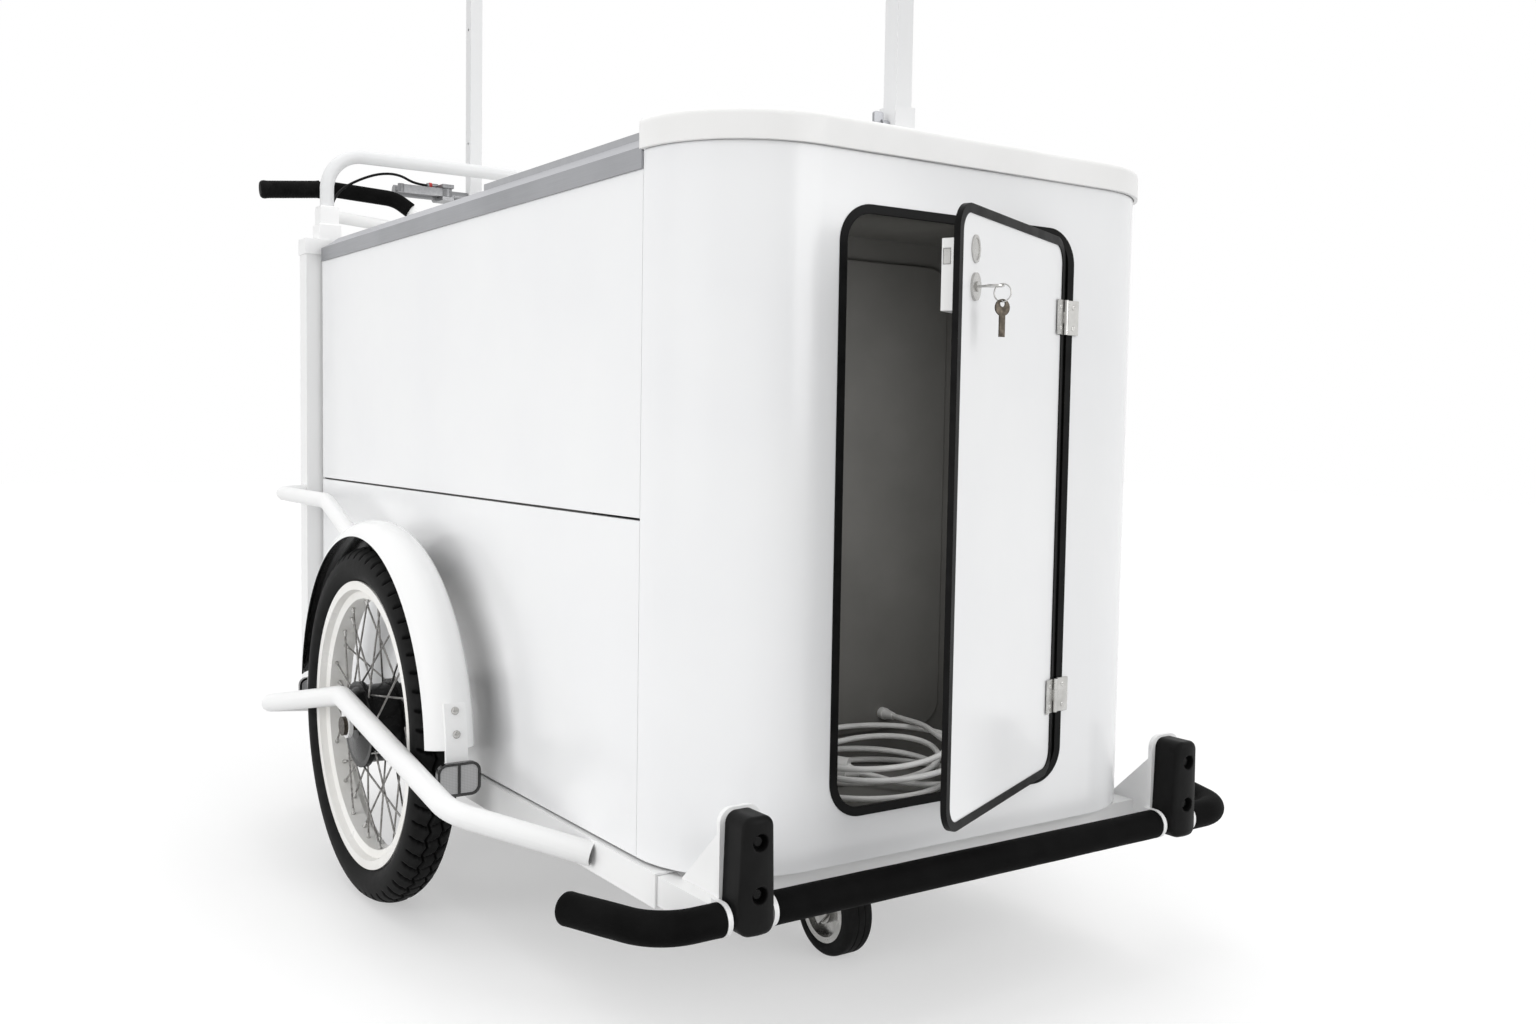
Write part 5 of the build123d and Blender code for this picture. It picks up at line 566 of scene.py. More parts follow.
def sooty(name, dark, light, roughness, scale, shine=0.025):
    """Dull black finish whose tone and gloss drift between two values over a noise of that scale."""
    finish, tree, shader = new_finish(name, dark, roughness[0])
    shader.inputs["Specular IOR Level"].default_value = shine
    vary(tree, shader, noise_in_place(tree, scale, detail=4.0), dark, light, roughness)
    return finish, tree, shader


trim, tree, shader = sooty("trim_rubber", (0.005,) * 3, (0.009,) * 3, (0.3, 0.45), 45.0, 0.07)
relief(tree, shader, noise_in_place(tree, 1500.0, detail=2.0), 0.00002, soft_edge=0.0012)
dress(trim, "door_frame_trim", "door_trim")

block_rubber, tree, shader = sooty("block_rubber", (0.006,) * 3, (0.011,) * 3, (0.4, 0.52), 30.0, 0.08)
relief(tree, shader, noise_in_place(tree, 1100.0, detail=3.0), 0.00004, soft_edge=0.003)
dress(block_rubber, "bumper_rubbers", "brake_cable")

tyre_rubber, tree, shader = sooty("tyre_rubber", (0.012,) * 3, (0.02,) * 3, (0.45, 0.6), 60.0)
carved = tree.nodes.new("ShaderNodeAttribute")
carved.attribute_name = "groove"
dusty_tone = shader.inputs["Base Color"].links[0].from_socket
# Grooves are painted darker with their depth, as the shade that falls in them.
groove_shade = blend(tree, carved.outputs["Fac"], dusty_tone, (0.002,) * 3)
tree.links.new(groove_shade, shader.inputs["Base Color"])
relief(tree, shader, noise_in_place(tree, 900.0, detail=3.0), 0.00005)
dress(tyre_rubber, "tyre_left", "tyre_right", "caster_tyre")

# %% [markdown]
# Foam sleeves cover the bumper bar and the handlebar: closed cells with a skin, dull and slightly open.
# Small cells are a Voronoi pattern, and a wider noise moves the tone and the gloss, as handling does.

# %% Foam
foam, tree, shader = sooty("black_foam", (0.004,) * 3, (0.008,) * 3, (0.55, 0.75), 28.0)
spot = tree.nodes.new("ShaderNodeTexCoord")
cells = tree.nodes.new("ShaderNodeTexVoronoi")
cells.inputs["Scale"].default_value = 900.0
tree.links.new(spot.outputs["Object"], cells.inputs["Vector"])
relief(tree, shader, cells.outputs["Distance"], 0.0001)
dress(foam, "bumper_foam", "handlebar_grips")

# %% [markdown]
# Inside, the compartment has a dark grey liner with a leathery grain, and the hubs are black castings.
# The freezer's foam walls show only in the seams of the panels, where they are painted near black as the
# shade in those gaps, and its machine shows only from below.

# %% Liner, castings and the hidden machine
liner, tree, shader = new_finish("liner_grey", (0.18, 0.177, 0.168), 0.6)
stains = noise_in_place(tree, 9.0, detail=4.0)
vary(tree, shader, stains, (0.162, 0.159, 0.149), (0.194, 0.19, 0.179), (0.66, 0.54))
relief(tree, shader, noise_in_place(tree, 420.0, detail=3.0), 0.0001, soft_edge=0.003)
dress(liner, "compartment_liner")

casting, tree, shader = sooty("black_casting", (0.003,) * 3, (0.006,) * 3, (0.16, 0.28), 90.0, 0.12)
relief(tree, shader, noise_in_place(tree, 500.0, detail=3.0), 0.00006, soft_edge=0.001)
dress(casting, "hub_left", "hub_right", "condensing_unit")

# The foam is painted near black as the shade in the panel seams; the foam itself is paler.
seam_shade_foam, tree, shader = new_finish("seam_shade_foam", (0.06, 0.058, 0.054), 0.8)
pores = noise_in_place(tree, 300.0, detail=5.0)
porous = two_tones(tree, pores, (0.04, 0.038, 0.035), (0.08, 0.078, 0.072))
tree.links.new(porous, shader.inputs["Base Color"])
relief(tree, shader, pores, 0.0006)
dress(seam_shade_foam, "insulation")

# %% [markdown]
# The lead, its gland and its plug are pale flexible plastic, a little dusty.
# The dust is a noise with many details, dull where it lies thick.

# %% Pale plastic
cable_grey, tree, shader = new_finish("lead_pale", (0.9, 0.895, 0.88), 0.42)
dusty = noise_in_place(tree, 30.0, detail=4.0)
vary(tree, shader, dusty, (0.85, 0.845, 0.83), (0.93, 0.925, 0.91), (0.5, 0.36))
relief(tree, shader, noise_in_place(tree, 800.0, detail=2.0), 0.00002, soft_edge=0.0008)
dress(cable_grey, "lead_gland", "mains_plug")
lead.data.materials.append(cable_grey)

# %% [markdown]
# The reflectors are clear plastic over a field of small prisms, which look grey until light hits them,
# in a black case whose rim and middle bar stand up round the lens.
# The rim is found by measuring: a place is on it when it is near the edge of the case's rectangle.

# %% Reflector lenses
GUARD_MIDDLE = 446.0
FRONT_LENS_LEVEL = 0.24665
REAR_LENS_RISE = 0.01591
WINDOW_CORNER = 0.0095
WINDOW_FLAT = (0.0168, 0.0093)
BAR_HALF = 0.0018


def reflector_rim(tree):
    """1 outside a window of 53 x 38 mm with round corners, and on a bar down its middle, else 0.

    A place is outside when it lies further than the corner's radius from the rectangle of WINDOW_FLAT.
    """

    def away(value, middle):
        """Distance of a number from a middle."""
        return worked(tree, "ABSOLUTE", worked(tree, "SUBTRACT", value, middle))

    def past(value, flat):
        """How far a distance goes past the flat part of an edge, or 0 within it."""
        return worked(tree, "MAXIMUM", worked(tree, "SUBTRACT", value, flat), 0.0)

    x, y, z = along_axes(tree, "Object")
    u = away(worked(tree, "ABSOLUTE", x), GUARD_MIDDLE / 1000.0)
    behind = worked(tree, "GREATER_THAN", y, float(AXLE[1]))
    v = away(z, worked(tree, "MULTIPLY_ADD", behind, REAR_LENS_RISE, FRONT_LENS_LEVEL))
    past_u, past_v = past(u, WINDOW_FLAT[0]), past(v, WINDOW_FLAT[1])
    square = worked(tree, "MULTIPLY_ADD", past_u, past_u, worked(tree, "MULTIPLY", past_v, past_v))
    outside = worked(tree, "GREATER_THAN", worked(tree, "SQRT", square), WINDOW_CORNER)
    return worked(tree, "MAXIMUM", outside, worked(tree, "LESS_THAN", u, BAR_HALF))


lens, tree, shader = new_finish("prism_lens", (0.3, 0.3, 0.3), 0.16)
shader.inputs["Coat Weight"].default_value = 0.4
spot = tree.nodes.new("ShaderNodeTexCoord")
prisms = tree.nodes.new("ShaderNodeTexVoronoi")
prisms.distance = "CHEBYCHEV"
prisms.inputs["Scale"].default_value = 480.0
prisms.inputs["Randomness"].default_value = 0.0
tree.links.new(spot.outputs["Object"], prisms.inputs["Vector"])
facets = two_tones(tree, prisms.outputs["Distance"], (0.66, 0.66, 0.66), (0.28, 0.28, 0.285), 0.0, 0.6)
tree.links.new(blend(tree, reflector_rim(tree), facets, (0.008,) * 3), shader.inputs["Base Color"])
relief(tree, shader, prisms.outputs["Distance"], 0.0004)
dress(lens, "reflectors")

# %% [markdown]
# New pieces are surfaces: a grid of points worked out as whole arrays, with faces between neighbours.
# Blender could revolve or extrude them, but a grid keeps each shape in one formula that can be changed.
# The helper below makes the mesh, joins points that fall together at a pole, and turns its faces outwards.

# %% From a grid of points to a mesh


def skin(name, points, body, finish, closed_rows=False, smooth=True):
    """Mesh of one or more grids, points[copy, row, column]: columns close on themselves, rows if asked."""
    points = np.asarray(points, float)
    points = points.reshape((-1,) + points.shape[-3:])
    copies, row_count, column_count = points.shape[:3]
    index = np.arange(copies * row_count * column_count).reshape(copies, row_count, column_count)
    beside = np.roll(index, -1, axis=2)
    quads = np.stack([index, beside, np.roll(beside, -1, axis=1), np.roll(index, -1, axis=1)], axis=-1)
    if not closed_rows:
        quads = quads[:, :-1]
    mesh = bpy.data.meshes.new(name)
    mesh.from_pydata(points.reshape(-1, 3).tolist(), [], quads.reshape(-1, 4).tolist())
    shape = bmesh.new()
    shape.from_mesh(mesh)
    bmesh.ops.remove_doubles(shape, verts=shape.verts, dist=1e-6)
    bmesh.ops.recalc_face_normals(shape, faces=shape.faces)
    shape.to_mesh(mesh)
    shape.free()
    mesh.polygons.foreach_set("use_smooth", np.full(len(mesh.polygons), smooth))
    mesh.materials.append(finish)
    piece = bpy.data.objects.new(name, mesh)
    bpy.context.scene.collection.objects.link(piece)
    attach(piece, body)
    print(name, "faces:", len(mesh.polygons))
    return piece


# %% [markdown]
# A road tyre is a round section with grooves cut in it, so its surface needs two numbers: across and around.
# Across, three arcs give the two side walls and the crown, as on the solid.
# Around, a pitch repeats: two zigzag grooves, slots at the shoulders and thin cuts between.
# Each groove pushes the point in along the radius, which a bump could not do at the tyre's edge.

# %% Tyres with their tread
SIDES = (("left", -1.0), ("right", 1.0))
WHEEL_MIDDLE = 450.0
PITCHES = 60
PITCH_LENGTH = 27.7
TYRE_RADIUS = 265.0
TYRE_SHOULDER = (25.83, 255.0)
TYRE_WIDEST = (32.5, 235.0)
TYRE_BEAD = (22.5, 214.0)
TYRE_BORE = 206.0
TREAD_EDGE = 238.0
WALL_RIBS = (221.0, 226.0, 232.0)


def arc_through(start, middle, stop, count):
    """Points on the circle through three points, equally spaced by angle from start to stop."""
    (ax, ay), (bx, by), (cx, cy) = start, middle, stop
    d = 2 * (ax * (by - cy) + bx * (cy - ay) + cx * (ay - by))
    a2, b2, c2 = ax * ax + ay * ay, bx * bx + by * by, cx * cx + cy * cy
    ux = (a2 * (by - cy) + b2 * (cy - ay) + c2 * (ay - by)) / d
    uy = (a2 * (cx - bx) + b2 * (ax - cx) + c2 * (bx - ax)) / d
    angles = np.unwrap(np.arctan2([ay - uy, by - uy, cy - uy], [ax - ux, bx - ux, cx - ux]))
    angle = np.linspace(angles[0], angles[2], count)
    radius = np.hypot(ax - ux, ay - uy)
    return np.column_stack([ux + radius * np.cos(angle), uy + radius * np.sin(angle)])


def groove(distance, half_width, soft):
    """1 inside a groove of that half width, falling to 0 over soft at its walls."""
    return np.clip((half_width - np.abs(distance)) / soft + 0.5, 0.0, 1.0)


def tread_depth(x, pitch):
    """Depth in mm: zigzag grooves at 9 +- 2.4 tri(pitch), slanted shoulder slots, thin cuts in the ribs.

    The deepest of the three counts: 4.2 in the grooves, 4.8 in the slots and 3 in the cuts.
    """
    zigzag = 2.4 * (4.0 * np.abs(pitch % 1.0 - 0.5) - 1.0)
    lines = np.maximum(groove(x - 9.0 - zigzag, 1.7, 1.2), groove(x + 9.0 - zigzag, 1.7, 1.2))
    slant = (pitch + 0.012 * (np.abs(x) - 12.0) + 0.25 * np.sign(x)) % 1.0 - 0.5
    slots = groove(slant * PITCH_LENGTH, 2.6, 1.4) * np.clip((np.abs(x) - 11.0) / 1.5, 0.0, 1.0)
    cut = ((pitch + 0.02 * x) % 1.0 - 0.5) * PITCH_LENGTH
    cuts = groove(cut, 1.1, 0.9) * (np.abs(x) < 8.0)
    on_crown = np.clip((30.5 - np.abs(x)) / 2.5, 0.0, 1.0)
    return np.maximum(np.maximum(4.2 * lines, 4.8 * slots), 3.0 * cuts) * on_crown


def round_axle(x, radius, angle, back=AXLE_BACK, level=AXLE_LEVEL):
    """Place at that radius and angle about an axle along X: back + r cos(angle), level + r sin(angle)."""
    return placed(x, back + radius * np.cos(angle), level + radius * np.sin(angle))


def tyre_surface(middle_x, steps=12):
    """Section (x, r) turned about the axle, r less the tread's depth; also the depth as a share of 4 mm.

    Three fine ribs stand out on each side wall, each a bell curve of the radius.
    """
    half_width, radius = TYRE_SHOULDER
    crown = arc_through((-half_width, radius), (0.0, TYRE_RADIUS), TYRE_SHOULDER, 53)
    wall = arc_through(TYRE_SHOULDER, TYRE_WIDEST, TYRE_BEAD, 19)[1:]
    bead = np.array([[TYRE_BEAD[0], TYRE_BORE], [-TYRE_BEAD[0], TYRE_BORE]])
    section = np.vstack([crown, wall, bead, wall[::-1] * (-1.0, 1.0)])
    x, r = section[:, 0], section[:, 1]
    for rib in WALL_RIBS:
        height = 0.45 * np.exp(-(((r - rib) / 1.1) ** 2))
        x = x + height * np.sign(x) * (np.abs(x) > 20.0)
    angle = np.linspace(0.0, 2.0 * np.pi, PITCHES * steps, endpoint=False)[:, None]
    on_outside = r > TREAD_EDGE
    depth = tread_depth(x[None, :], angle * PITCHES / (2.0 * np.pi)) * on_outside
    spots = round_axle(middle_x + x, r - depth, angle)
    return spots, np.clip(depth / 4.0, 0.0, 1.0)


for side, way in SIDES:
    spots, share = tyre_surface(way * WHEEL_MIDDLE)
    tyre = skin(f"road_tyre_{side}", spots, f"wheel_{side}", tyre_rubber, closed_rows=True)
    tyre.data.attributes.new("groove", "FLOAT", "POINT").data.foreach_set("value", share.ravel())
    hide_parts(f"tyre_{side}")

# %% [markdown]
# The caster's tyre is a plain rubber ring with rounded shoulders and two thin grooves.
# Its profile is a list of widths and radii turned about the axle, the way a lathe would cut it.

# %% Caster tyre with two grooves
CASTER_BACK = 245.0
CASTER_RADIUS = 62.5
CASTER_BORE = 44.2
CASTER_HALF = 21.0
CASTER_SHOULDER = 8.4


def turned_about_x(profile, back, level, around):
    """Profile (x, r) turned about an axle along X at that place."""
    angle = np.linspace(0.0, 2.0 * np.pi, around, endpoint=False)[:, None]
    return round_axle(profile[:, 0], profile[:, 1], angle, back, level)


x = np.linspace(-CASTER_HALF, CASTER_HALF, 85)
to_flat = CASTER_SHOULDER - np.clip(CASTER_HALF - np.abs(x), 0.0, CASTER_SHOULDER)
rounded = CASTER_SHOULDER - np.sqrt(np.clip(CASTER_SHOULDER**2 - to_flat**2, 0.0, None))
dents = 1.4 * groove(np.abs(x) - 5.5, 0.8, 0.7)
tread = np.column_stack([x, CASTER_RADIUS - rounded - dents])
caster_profile = np.vstack([[-CASTER_HALF, CASTER_BORE], tread, [CASTER_HALF, CASTER_BORE]])
caster_skin = turned_about_x(caster_profile, CASTER_BACK, CASTER_RADIUS, 96)
caster_tyre = skin("caster_road_tyre", caster_skin, "caster_roller", tyre_rubber, closed_rows=True)
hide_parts("caster_tyre")

# %% [markdown]
# The foam sleeves follow bent bars, so each is a round profile carried along a path.
# The path is straight runs joined by arcs, and at each station a ring stands square to it.
# The profile gives the ring's radius at a distance along the path: zero at the tip, then a rounded shoulder.

# %% Foam sleeves on the bumper bar
BAR_BEND = 0.06
BUMPER_FOAM = 0.0185
BUMPER_LIP = 0.0015
BUMPER_ROUND_END = 0.009
BUMPER_PAST_BAR = 0.005
BAR_LINE = {"back": -42.0, "level": 204.0}
BAR_CORNER = 444.0
BAR_END, BAR_END_BACK = 491.0, 75.0
MIDDLE_FOAM_END = 307.0
SIDE_FOAM_START = 371.0


def bent_line(corners, bend, step=0.004):
    """Points along straight runs joined by arcs of radius bend that are tangent to the runs."""
    corners = np.asarray(corners, float)
    runs = [corners[:1]]
    for before, corner, after in zip(corners[:-2], corners[1:-1], corners[2:]):
        into = (corner - before) / np.linalg.norm(corner - before)
        out = (after - corner) / np.linalg.norm(after - corner)
        turn = np.arccos(np.clip(into @ out, -1.0, 1.0))
        inward = out - into * (into @ out)
        inward = inward / np.linalg.norm(inward)
        start = corner - into * bend * np.tan(turn / 2)
        angle = np.linspace(0.0, turn, max(int(bend * turn / step), 4))[:, None]
        runs.append(start + bend * (np.sin(angle) * into + (1.0 - np.cos(angle)) * inward))
    runs.append(corners[-1:])
    return np.vstack(runs)


def carried(corners, bend, profile, around=40):
    """Ring of radius r at each distance s of the profile (s, r), square to the bent line."""
    line = bent_line(corners, bend)
    length = np.concatenate([[0.0], np.cumsum(np.linalg.norm(np.diff(line, axis=0), axis=1))])
    s, r = profile[:, 0], profile[:, 1]

    def on_line(distance):
        """Places on the bent line at those distances from its start."""
        return np.column_stack([np.interp(distance, length, line[:, axis]) for axis in range(3)])

    middle = on_line(s)
    little = 0.001
    ahead = on_line(np.clip(s + little, 0.0, length[-1])) - on_line(np.clip(s - little, 0.0, length[-1]))
    ahead = ahead / np.linalg.norm(ahead, axis=1, keepdims=True)
    across = np.cross(ahead, (0.0, 0.0, 1.0))
    across = across / np.linalg.norm(across, axis=1, keepdims=True)
    top = np.cross(across, ahead)
    angle = np.linspace(0.0, 2.0 * np.pi, around, endpoint=False)[None, :, None]
    ring = np.cos(angle) * across[:, None] + np.sin(angle) * top[:, None]
    return middle[:, None] + r[:, None, None] * ring


def line_length(corners, bend):
    """Length of the bent line."""
    return np.linalg.norm(np.diff(bent_line(corners, bend), axis=0), axis=1).sum()


def sleeve_profile(length, radius, lip, tip):
    """Radius along a sleeve: a small rounded lip at the start, a quarter ellipse of depth tip at the end."""
    quarter = np.linspace(0.0, np.pi / 2, 7)
    begin = np.column_stack([lip * (1.0 - np.cos(quarter)), radius - lip + lip * np.sin(quarter)])
    run = np.linspace(lip, length - tip, max(int(length / 0.006), 8))[1:-1]
    soft = radius * (1.0 - 0.006 * (1.0 + np.sin(run * 61.0) * np.sin(run * 23.0 + 1.0)))
    end = np.column_stack([length - tip + tip * np.sin(quarter), radius * np.cos(quarter)])
    return np.vstack([[0.0, 0.0], begin, np.column_stack([run, soft]), end])


middle_run = [placed(-MIDDLE_FOAM_END, **BAR_LINE), placed(MIDDLE_FOAM_END, **BAR_LINE)]
middle_profile = sleeve_profile(line_length(middle_run, BAR_BEND), BUMPER_FOAM, BUMPER_LIP, BUMPER_LIP)
middle_shape = carried(middle_run, BAR_BEND, middle_profile)
sleeves = [skin("bumper_foam_middle", middle_shape, "cart", foam)]
for side, way in SIDES:
    end = placed(way * BAR_END, BAR_END_BACK, BAR_LINE["level"])
    corner = placed(way * BAR_CORNER, **BAR_LINE)
    tip = end + BUMPER_PAST_BAR * (end - corner) / np.linalg.norm(end - corner)
    run = [placed(way * SIDE_FOAM_START, **BAR_LINE), corner, tip]
    profile = sleeve_profile(line_length(run, BAR_BEND), BUMPER_FOAM, BUMPER_LIP, BUMPER_ROUND_END)
    shape = carried(run, BAR_BEND, profile)
    sleeves.append(skin(f"bumper_foam_{side}", shape, "cart", foam))
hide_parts("bumper_foam")

# %% [markdown]
# On the handlebar a foam sleeve follows each bend, and outside it sits a moulded grip with fine rings.
# The rings are less than a millimetre deep, but they give the grip its dull shine, so they are modelled.

# %% Handlebar sleeves and grips
GRIP_LENGTH = 0.109
GRIP_PAST_TIP = 0.005
GRIP_RADIUS = 0.0163
HANDLE_FOAM = 0.015
HANDLE_LIP = 0.0012
HANDLE_GAP = 0.0005
HANDLE_DROP = 0.036

grip_rubber, tree, shader = sooty("grip_rubber", (0.006,) * 3, (0.012,) * 3, (0.42, 0.6), 50.0)
relief(tree, shader, noise_in_place(tree, 1300.0, detail=2.0), 0.00005)


def grip_profile(length):
    """Radius along a grip: rounded outer end, a raised ring at both ends, rings of 3 mm pitch between."""
    ring_height, ring_pitch = 0.00035, 0.003
    lip_height, lip_width, lip_place = 0.0009, 0.006, 0.008
    round_end = 0.005
    s = np.linspace(0.0, length, 220)
    rings = ring_height * np.cos(2.0 * np.pi * s / ring_pitch)
    outer_lip = np.clip(1.0 - np.abs(s - lip_place) / lip_width, 0.0, 1.0)
    lips = outer_lip + np.clip(1.0 - (length - s) / lip_width, 0.0, 1.0)
    radius = GRIP_RADIUS + lip_height * np.clip(lips, 0.0, 1.0) + rings * (lips <= 0.0)
    end = np.clip(s / round_end, 0.0, 1.0)
    radius = radius * (0.72 + 0.28 * np.sqrt(1.0 - (1.0 - end) ** 2))
    return np.vstack([[0.0, 0.0], np.column_stack([s, radius]), [length, 0.0]])


for side, way in SIDES:
    tip = placed(way * 427.0, 1506.0, 1151.0)
    bend_at = placed(way * 300.0, 1494.0, 1163.0)
    drop_at = placed(way * 190.0, 1450.0, 1150.0)
    middle = placed(way * 82.0, 1400.0, 1066.0)
    along = (bend_at - tip) / np.linalg.norm(bend_at - tip)
    outer = tip - GRIP_PAST_TIP * along
    inner = outer + GRIP_LENGTH * along
    grip_shape = carried([outer, inner], BAR_BEND, grip_profile(GRIP_LENGTH), around=48)
    skin(f"grip_{side}", grip_shape, "cart", grip_rubber)
    stop = drop_at + HANDLE_DROP * (middle - drop_at) / np.linalg.norm(middle - drop_at)
    run = [inner + HANDLE_GAP * along, bend_at, drop_at, stop]
    profile = sleeve_profile(line_length(run, BAR_BEND), HANDLE_FOAM, HANDLE_LIP, HANDLE_LIP)
    shape = carried(run, BAR_BEND, profile)
    skin(f"bar_foam_{side}", shape, "cart", foam)
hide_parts("handlebar_grips")

# %% [markdown]
# The brake lever's cable adjuster wears a small red ring, the one spot of colour on the cart.
# Its section is a rectangle with rounded outer edges, turned about the adjuster.

# %% Red ring
red, tree, shader = new_finish("red_plastic", (0.5, 0.02, 0.016), 0.35)
worn = noise_in_place(tree, 400.0, detail=3.0)
tree.links.new(two_tones(tree, worn, (0.4, 0.016, 0.012), (0.58, 0.03, 0.022)), shader.inputs["Base Color"])
ADJUSTER_BACK, ADJUSTER_LEVEL = 1507.0, 1194.0
RING_START, RING_STOP = -100.0, -94.0
RING_BORE, RING_FLAT, RING_EDGE = 4.6, 5.2, 0.9
quarter = np.linspace(0.0, np.pi / 2, 5)
inwards = RING_EDGE * (1.0 - np.cos(quarter))
outwards = RING_EDGE * np.sin(quarter)
edge = np.column_stack([RING_START + inwards, RING_FLAT + outwards])
other_edge = edge[::-1] * (-1.0, 1.0) + (RING_START + RING_STOP, 0.0)
ring_profile = np.vstack([[RING_START, RING_BORE], edge, other_edge, [RING_STOP, RING_BORE]])
ring = turned_about_x(ring_profile, ADJUSTER_BACK, ADJUSTER_LEVEL, 32)
skin("adjuster_ring", ring, "cart", red, closed_rows=True)

# %% [markdown]
# Each spoke screws into a plated nipple that sits on the rim, and 36 of them catch the light in a ring.
# One turned profile is enough: numpy repeats it along every spoke at once, so all the nipples are one mesh.
# The spokes cross in pairs: even ones run to one hub flange and odd ones to the other, leaning to and fro.

# %% Spoke nipples
SPOKES = 36
HUB_RADIUS = 61.0
RIM_RADIUS = 190.0
HUB_LEAD = 34.0
NIPPLE_SEAT = 0.003


def turned_copies(profile, places, ways, around=10, cross=0.0):
    """Profile (height, radius) turned about each way at each place; a cross recess takes off some height."""
    places, ways = np.asarray(places, float), np.asarray(ways, float)
    ways = ways / np.linalg.norm(ways, axis=1, keepdims=True)
    helper = np.where(np.abs(ways[:, 2:]) > 0.9, (1.0, 0.0, 0.0), (0.0, 0.0, 1.0))
    across = np.cross(helper, ways)
    across = across / np.linalg.norm(across, axis=1, keepdims=True)
    top = np.cross(ways, across)
    angle = np.linspace(0.0, 2.0 * np.pi, around, endpoint=False)
    height = np.broadcast_to(profile[:, :1], (len(profile), around))
    a = profile[:, 1:] * np.cos(angle)
    b = profile[:, 1:] * np.sin(angle)
    widest = profile[:, 1].max()
    bar = 0.14 * widest, 0.1 * widest
    arm = np.maximum(groove(a, *bar), groove(b, *bar))
    within = groove(np.hypot(a, b), 0.6 * widest, 0.15 * widest)
    height = height - cross * arm * within * (height > 0.0)
    shape = [part[None, ..., None] for part in (height, a, b)]
    frames = [way[:, None, None, :] for way in (ways, across, top)]
    return places[:, None, None, :] + sum(part * way for part, way in zip(shape, frames))


def spoke_lines(middle_x):
    """Hub and rim ends of the spokes: rim ends equally far apart, hub ends 34 degrees ahead or behind."""
    number = np.arange(SPOKES)
    flange = np.where(number % 2, 1.0, -1.0)
    lean = np.where((number // 2) % 2, 1.0, -1.0)
    rim_angle = np.radians(360.0 / SPOKES * number)
    hub_angle = rim_angle + lean * np.radians(HUB_LEAD)
    hub_x = middle_x + flange * (24.0 + 2.5 * lean)
    rim_x = middle_x + flange * 3.0 * (1.0 + lean / 2)
    return round_axle(hub_x, HUB_RADIUS, hub_angle), round_axle(rim_x, RIM_RADIUS, rim_angle)


nipple = np.array([(0, 0), (0, 3.4), (1.2, 3.2), (2.2, 2.4), (10, 2.2), (11, 1.6), (11, 0)]) / 1000.0
for side, way in SIDES:
    hub, rim = spoke_lines(way * WHEEL_MIDDLE)
    ways = hub - rim
    seats = rim + ways * (NIPPLE_SEAT / np.linalg.norm(ways, axis=1, keepdims=True))
    skin(f"nipples_{side}", turned_copies(nipple, seats, ways), f"wheel_{side}", bright)

# %% [markdown]
# Screws hold the hinges and the reflector brackets, and bolts hold the bumper's rubber blocks.
# A pan head is a flat dome with a cross pressed into it, so the turned profile loses height along two bars.
# The door stands open, so its screws are worked out on the closed door and turned about the hinge with it.

# %% Screw heads
HINGE_LINE = placed(155.0, -5.0, 0.0)
HINGE_LEVELS = (384.0, 861.0)
SCREW_OFFSET = 13.0
SHELL_LEAF = {"x": 170.0, "back": -3.4}
DOOR_LEAF = {"x": 141.0, "back": -3.0}
DOOR_OPEN = 25.5
STRAP_RADIUS = 0.308
STRAP_ANGLES = (7.5, 13.3, 180.0 - 10.6, 180.0 - 16.4)
BLOCK_MIDDLE, BLOCK_FACE = 339.0, -59.0
BOLT_LEVELS = (232.0, 288.0)
HEAD_SIDES = 24


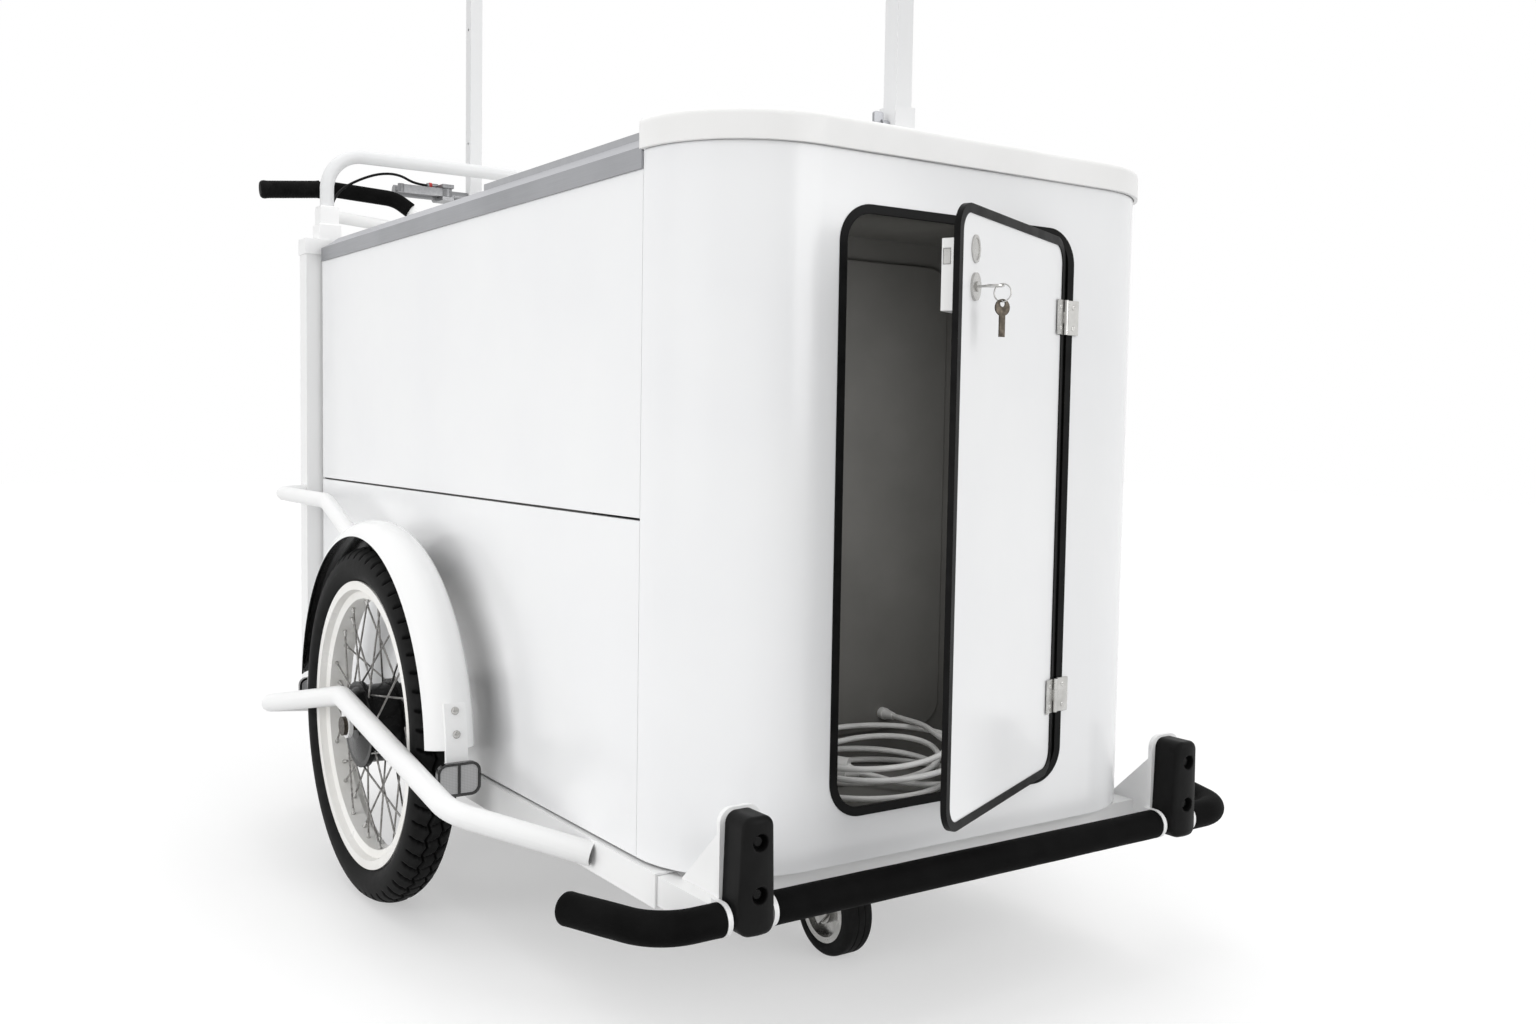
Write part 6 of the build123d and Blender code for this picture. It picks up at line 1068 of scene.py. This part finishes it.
def pan_head(radius, height, sunk=0.0003):
    """Profile of a pan head: an elliptical dome of that radius and height, sunk a little into its seat."""
    slope = np.linspace(0.0, np.pi / 2, 9)
    dome = np.column_stack([height * np.sin(slope), radius * np.cos(slope)])
    return np.vstack([[-sunk, 0.0], [-sunk, radius], dome])


def opened(points):
    """Points of the closed door turned about its hinge line by the angle at which it stands open."""
    turn = np.radians(DOOR_OPEN)
    arm = points - HINGE_LINE
    x = arm[:, 0] * np.cos(turn) - arm[:, 1] * np.sin(turn)
    y = arm[:, 0] * np.sin(turn) + arm[:, 1] * np.cos(turn)
    return HINGE_LINE + np.column_stack([x, y, arm[:, 2]])


levels = np.add.outer(HINGE_LEVELS, (-SCREW_OFFSET, SCREW_OFFSET)).ravel()
forwards = np.tile((0.0, -1.0, 0.0), (4, 1))
hinge_head = pan_head(0.0033, 0.0012)
shell_places = placed(**SHELL_LEAF, level=levels)
shell_screws = turned_copies(hinge_head, shell_places, forwards, HEAD_SIDES, cross=0.0009)
skin("shell_hinge_screws", shell_screws, "cart", bright)
door_places = opened(placed(**DOOR_LEAF, level=levels))
door_forwards = opened(HINGE_LINE + forwards) - HINGE_LINE
door_screws = turned_copies(hinge_head, door_places, door_forwards, HEAD_SIDES, cross=0.0009)
skin("door_hinge_screws", door_screws, "door", bright)

strap_angles = np.radians(STRAP_ANGLES)
radial = np.column_stack([np.zeros(4), -np.cos(strap_angles), np.sin(strap_angles)])
for side, way in SIDES:
    seats = AXLE + (way * GUARD_MIDDLE / 1000.0, 0.0, 0.0) + STRAP_RADIUS * radial
    heads = turned_copies(pan_head(0.0055, 0.003), seats, radial, HEAD_SIDES, cross=0.0018)
    skin(f"strap_screws_{side}", heads, "cart", bright)

bolt = np.array([(0, 0), (0, 8.5), (1.2, 8.5), (1.2, 5.6), (5, 5.6), (5.6, 5), (5.6, 0)]) / 1000.0
block_sides = np.repeat((-BLOCK_MIDDLE, BLOCK_MIDDLE), len(BOLT_LEVELS))
bolt_places = placed(block_sides, BLOCK_FACE, np.tile(BOLT_LEVELS, 2))
bolts = turned_copies(bolt, bolt_places, forwards, HEAD_SIDES)
skin("bumper_bolts", bolts, "cart", casting, smooth=False)
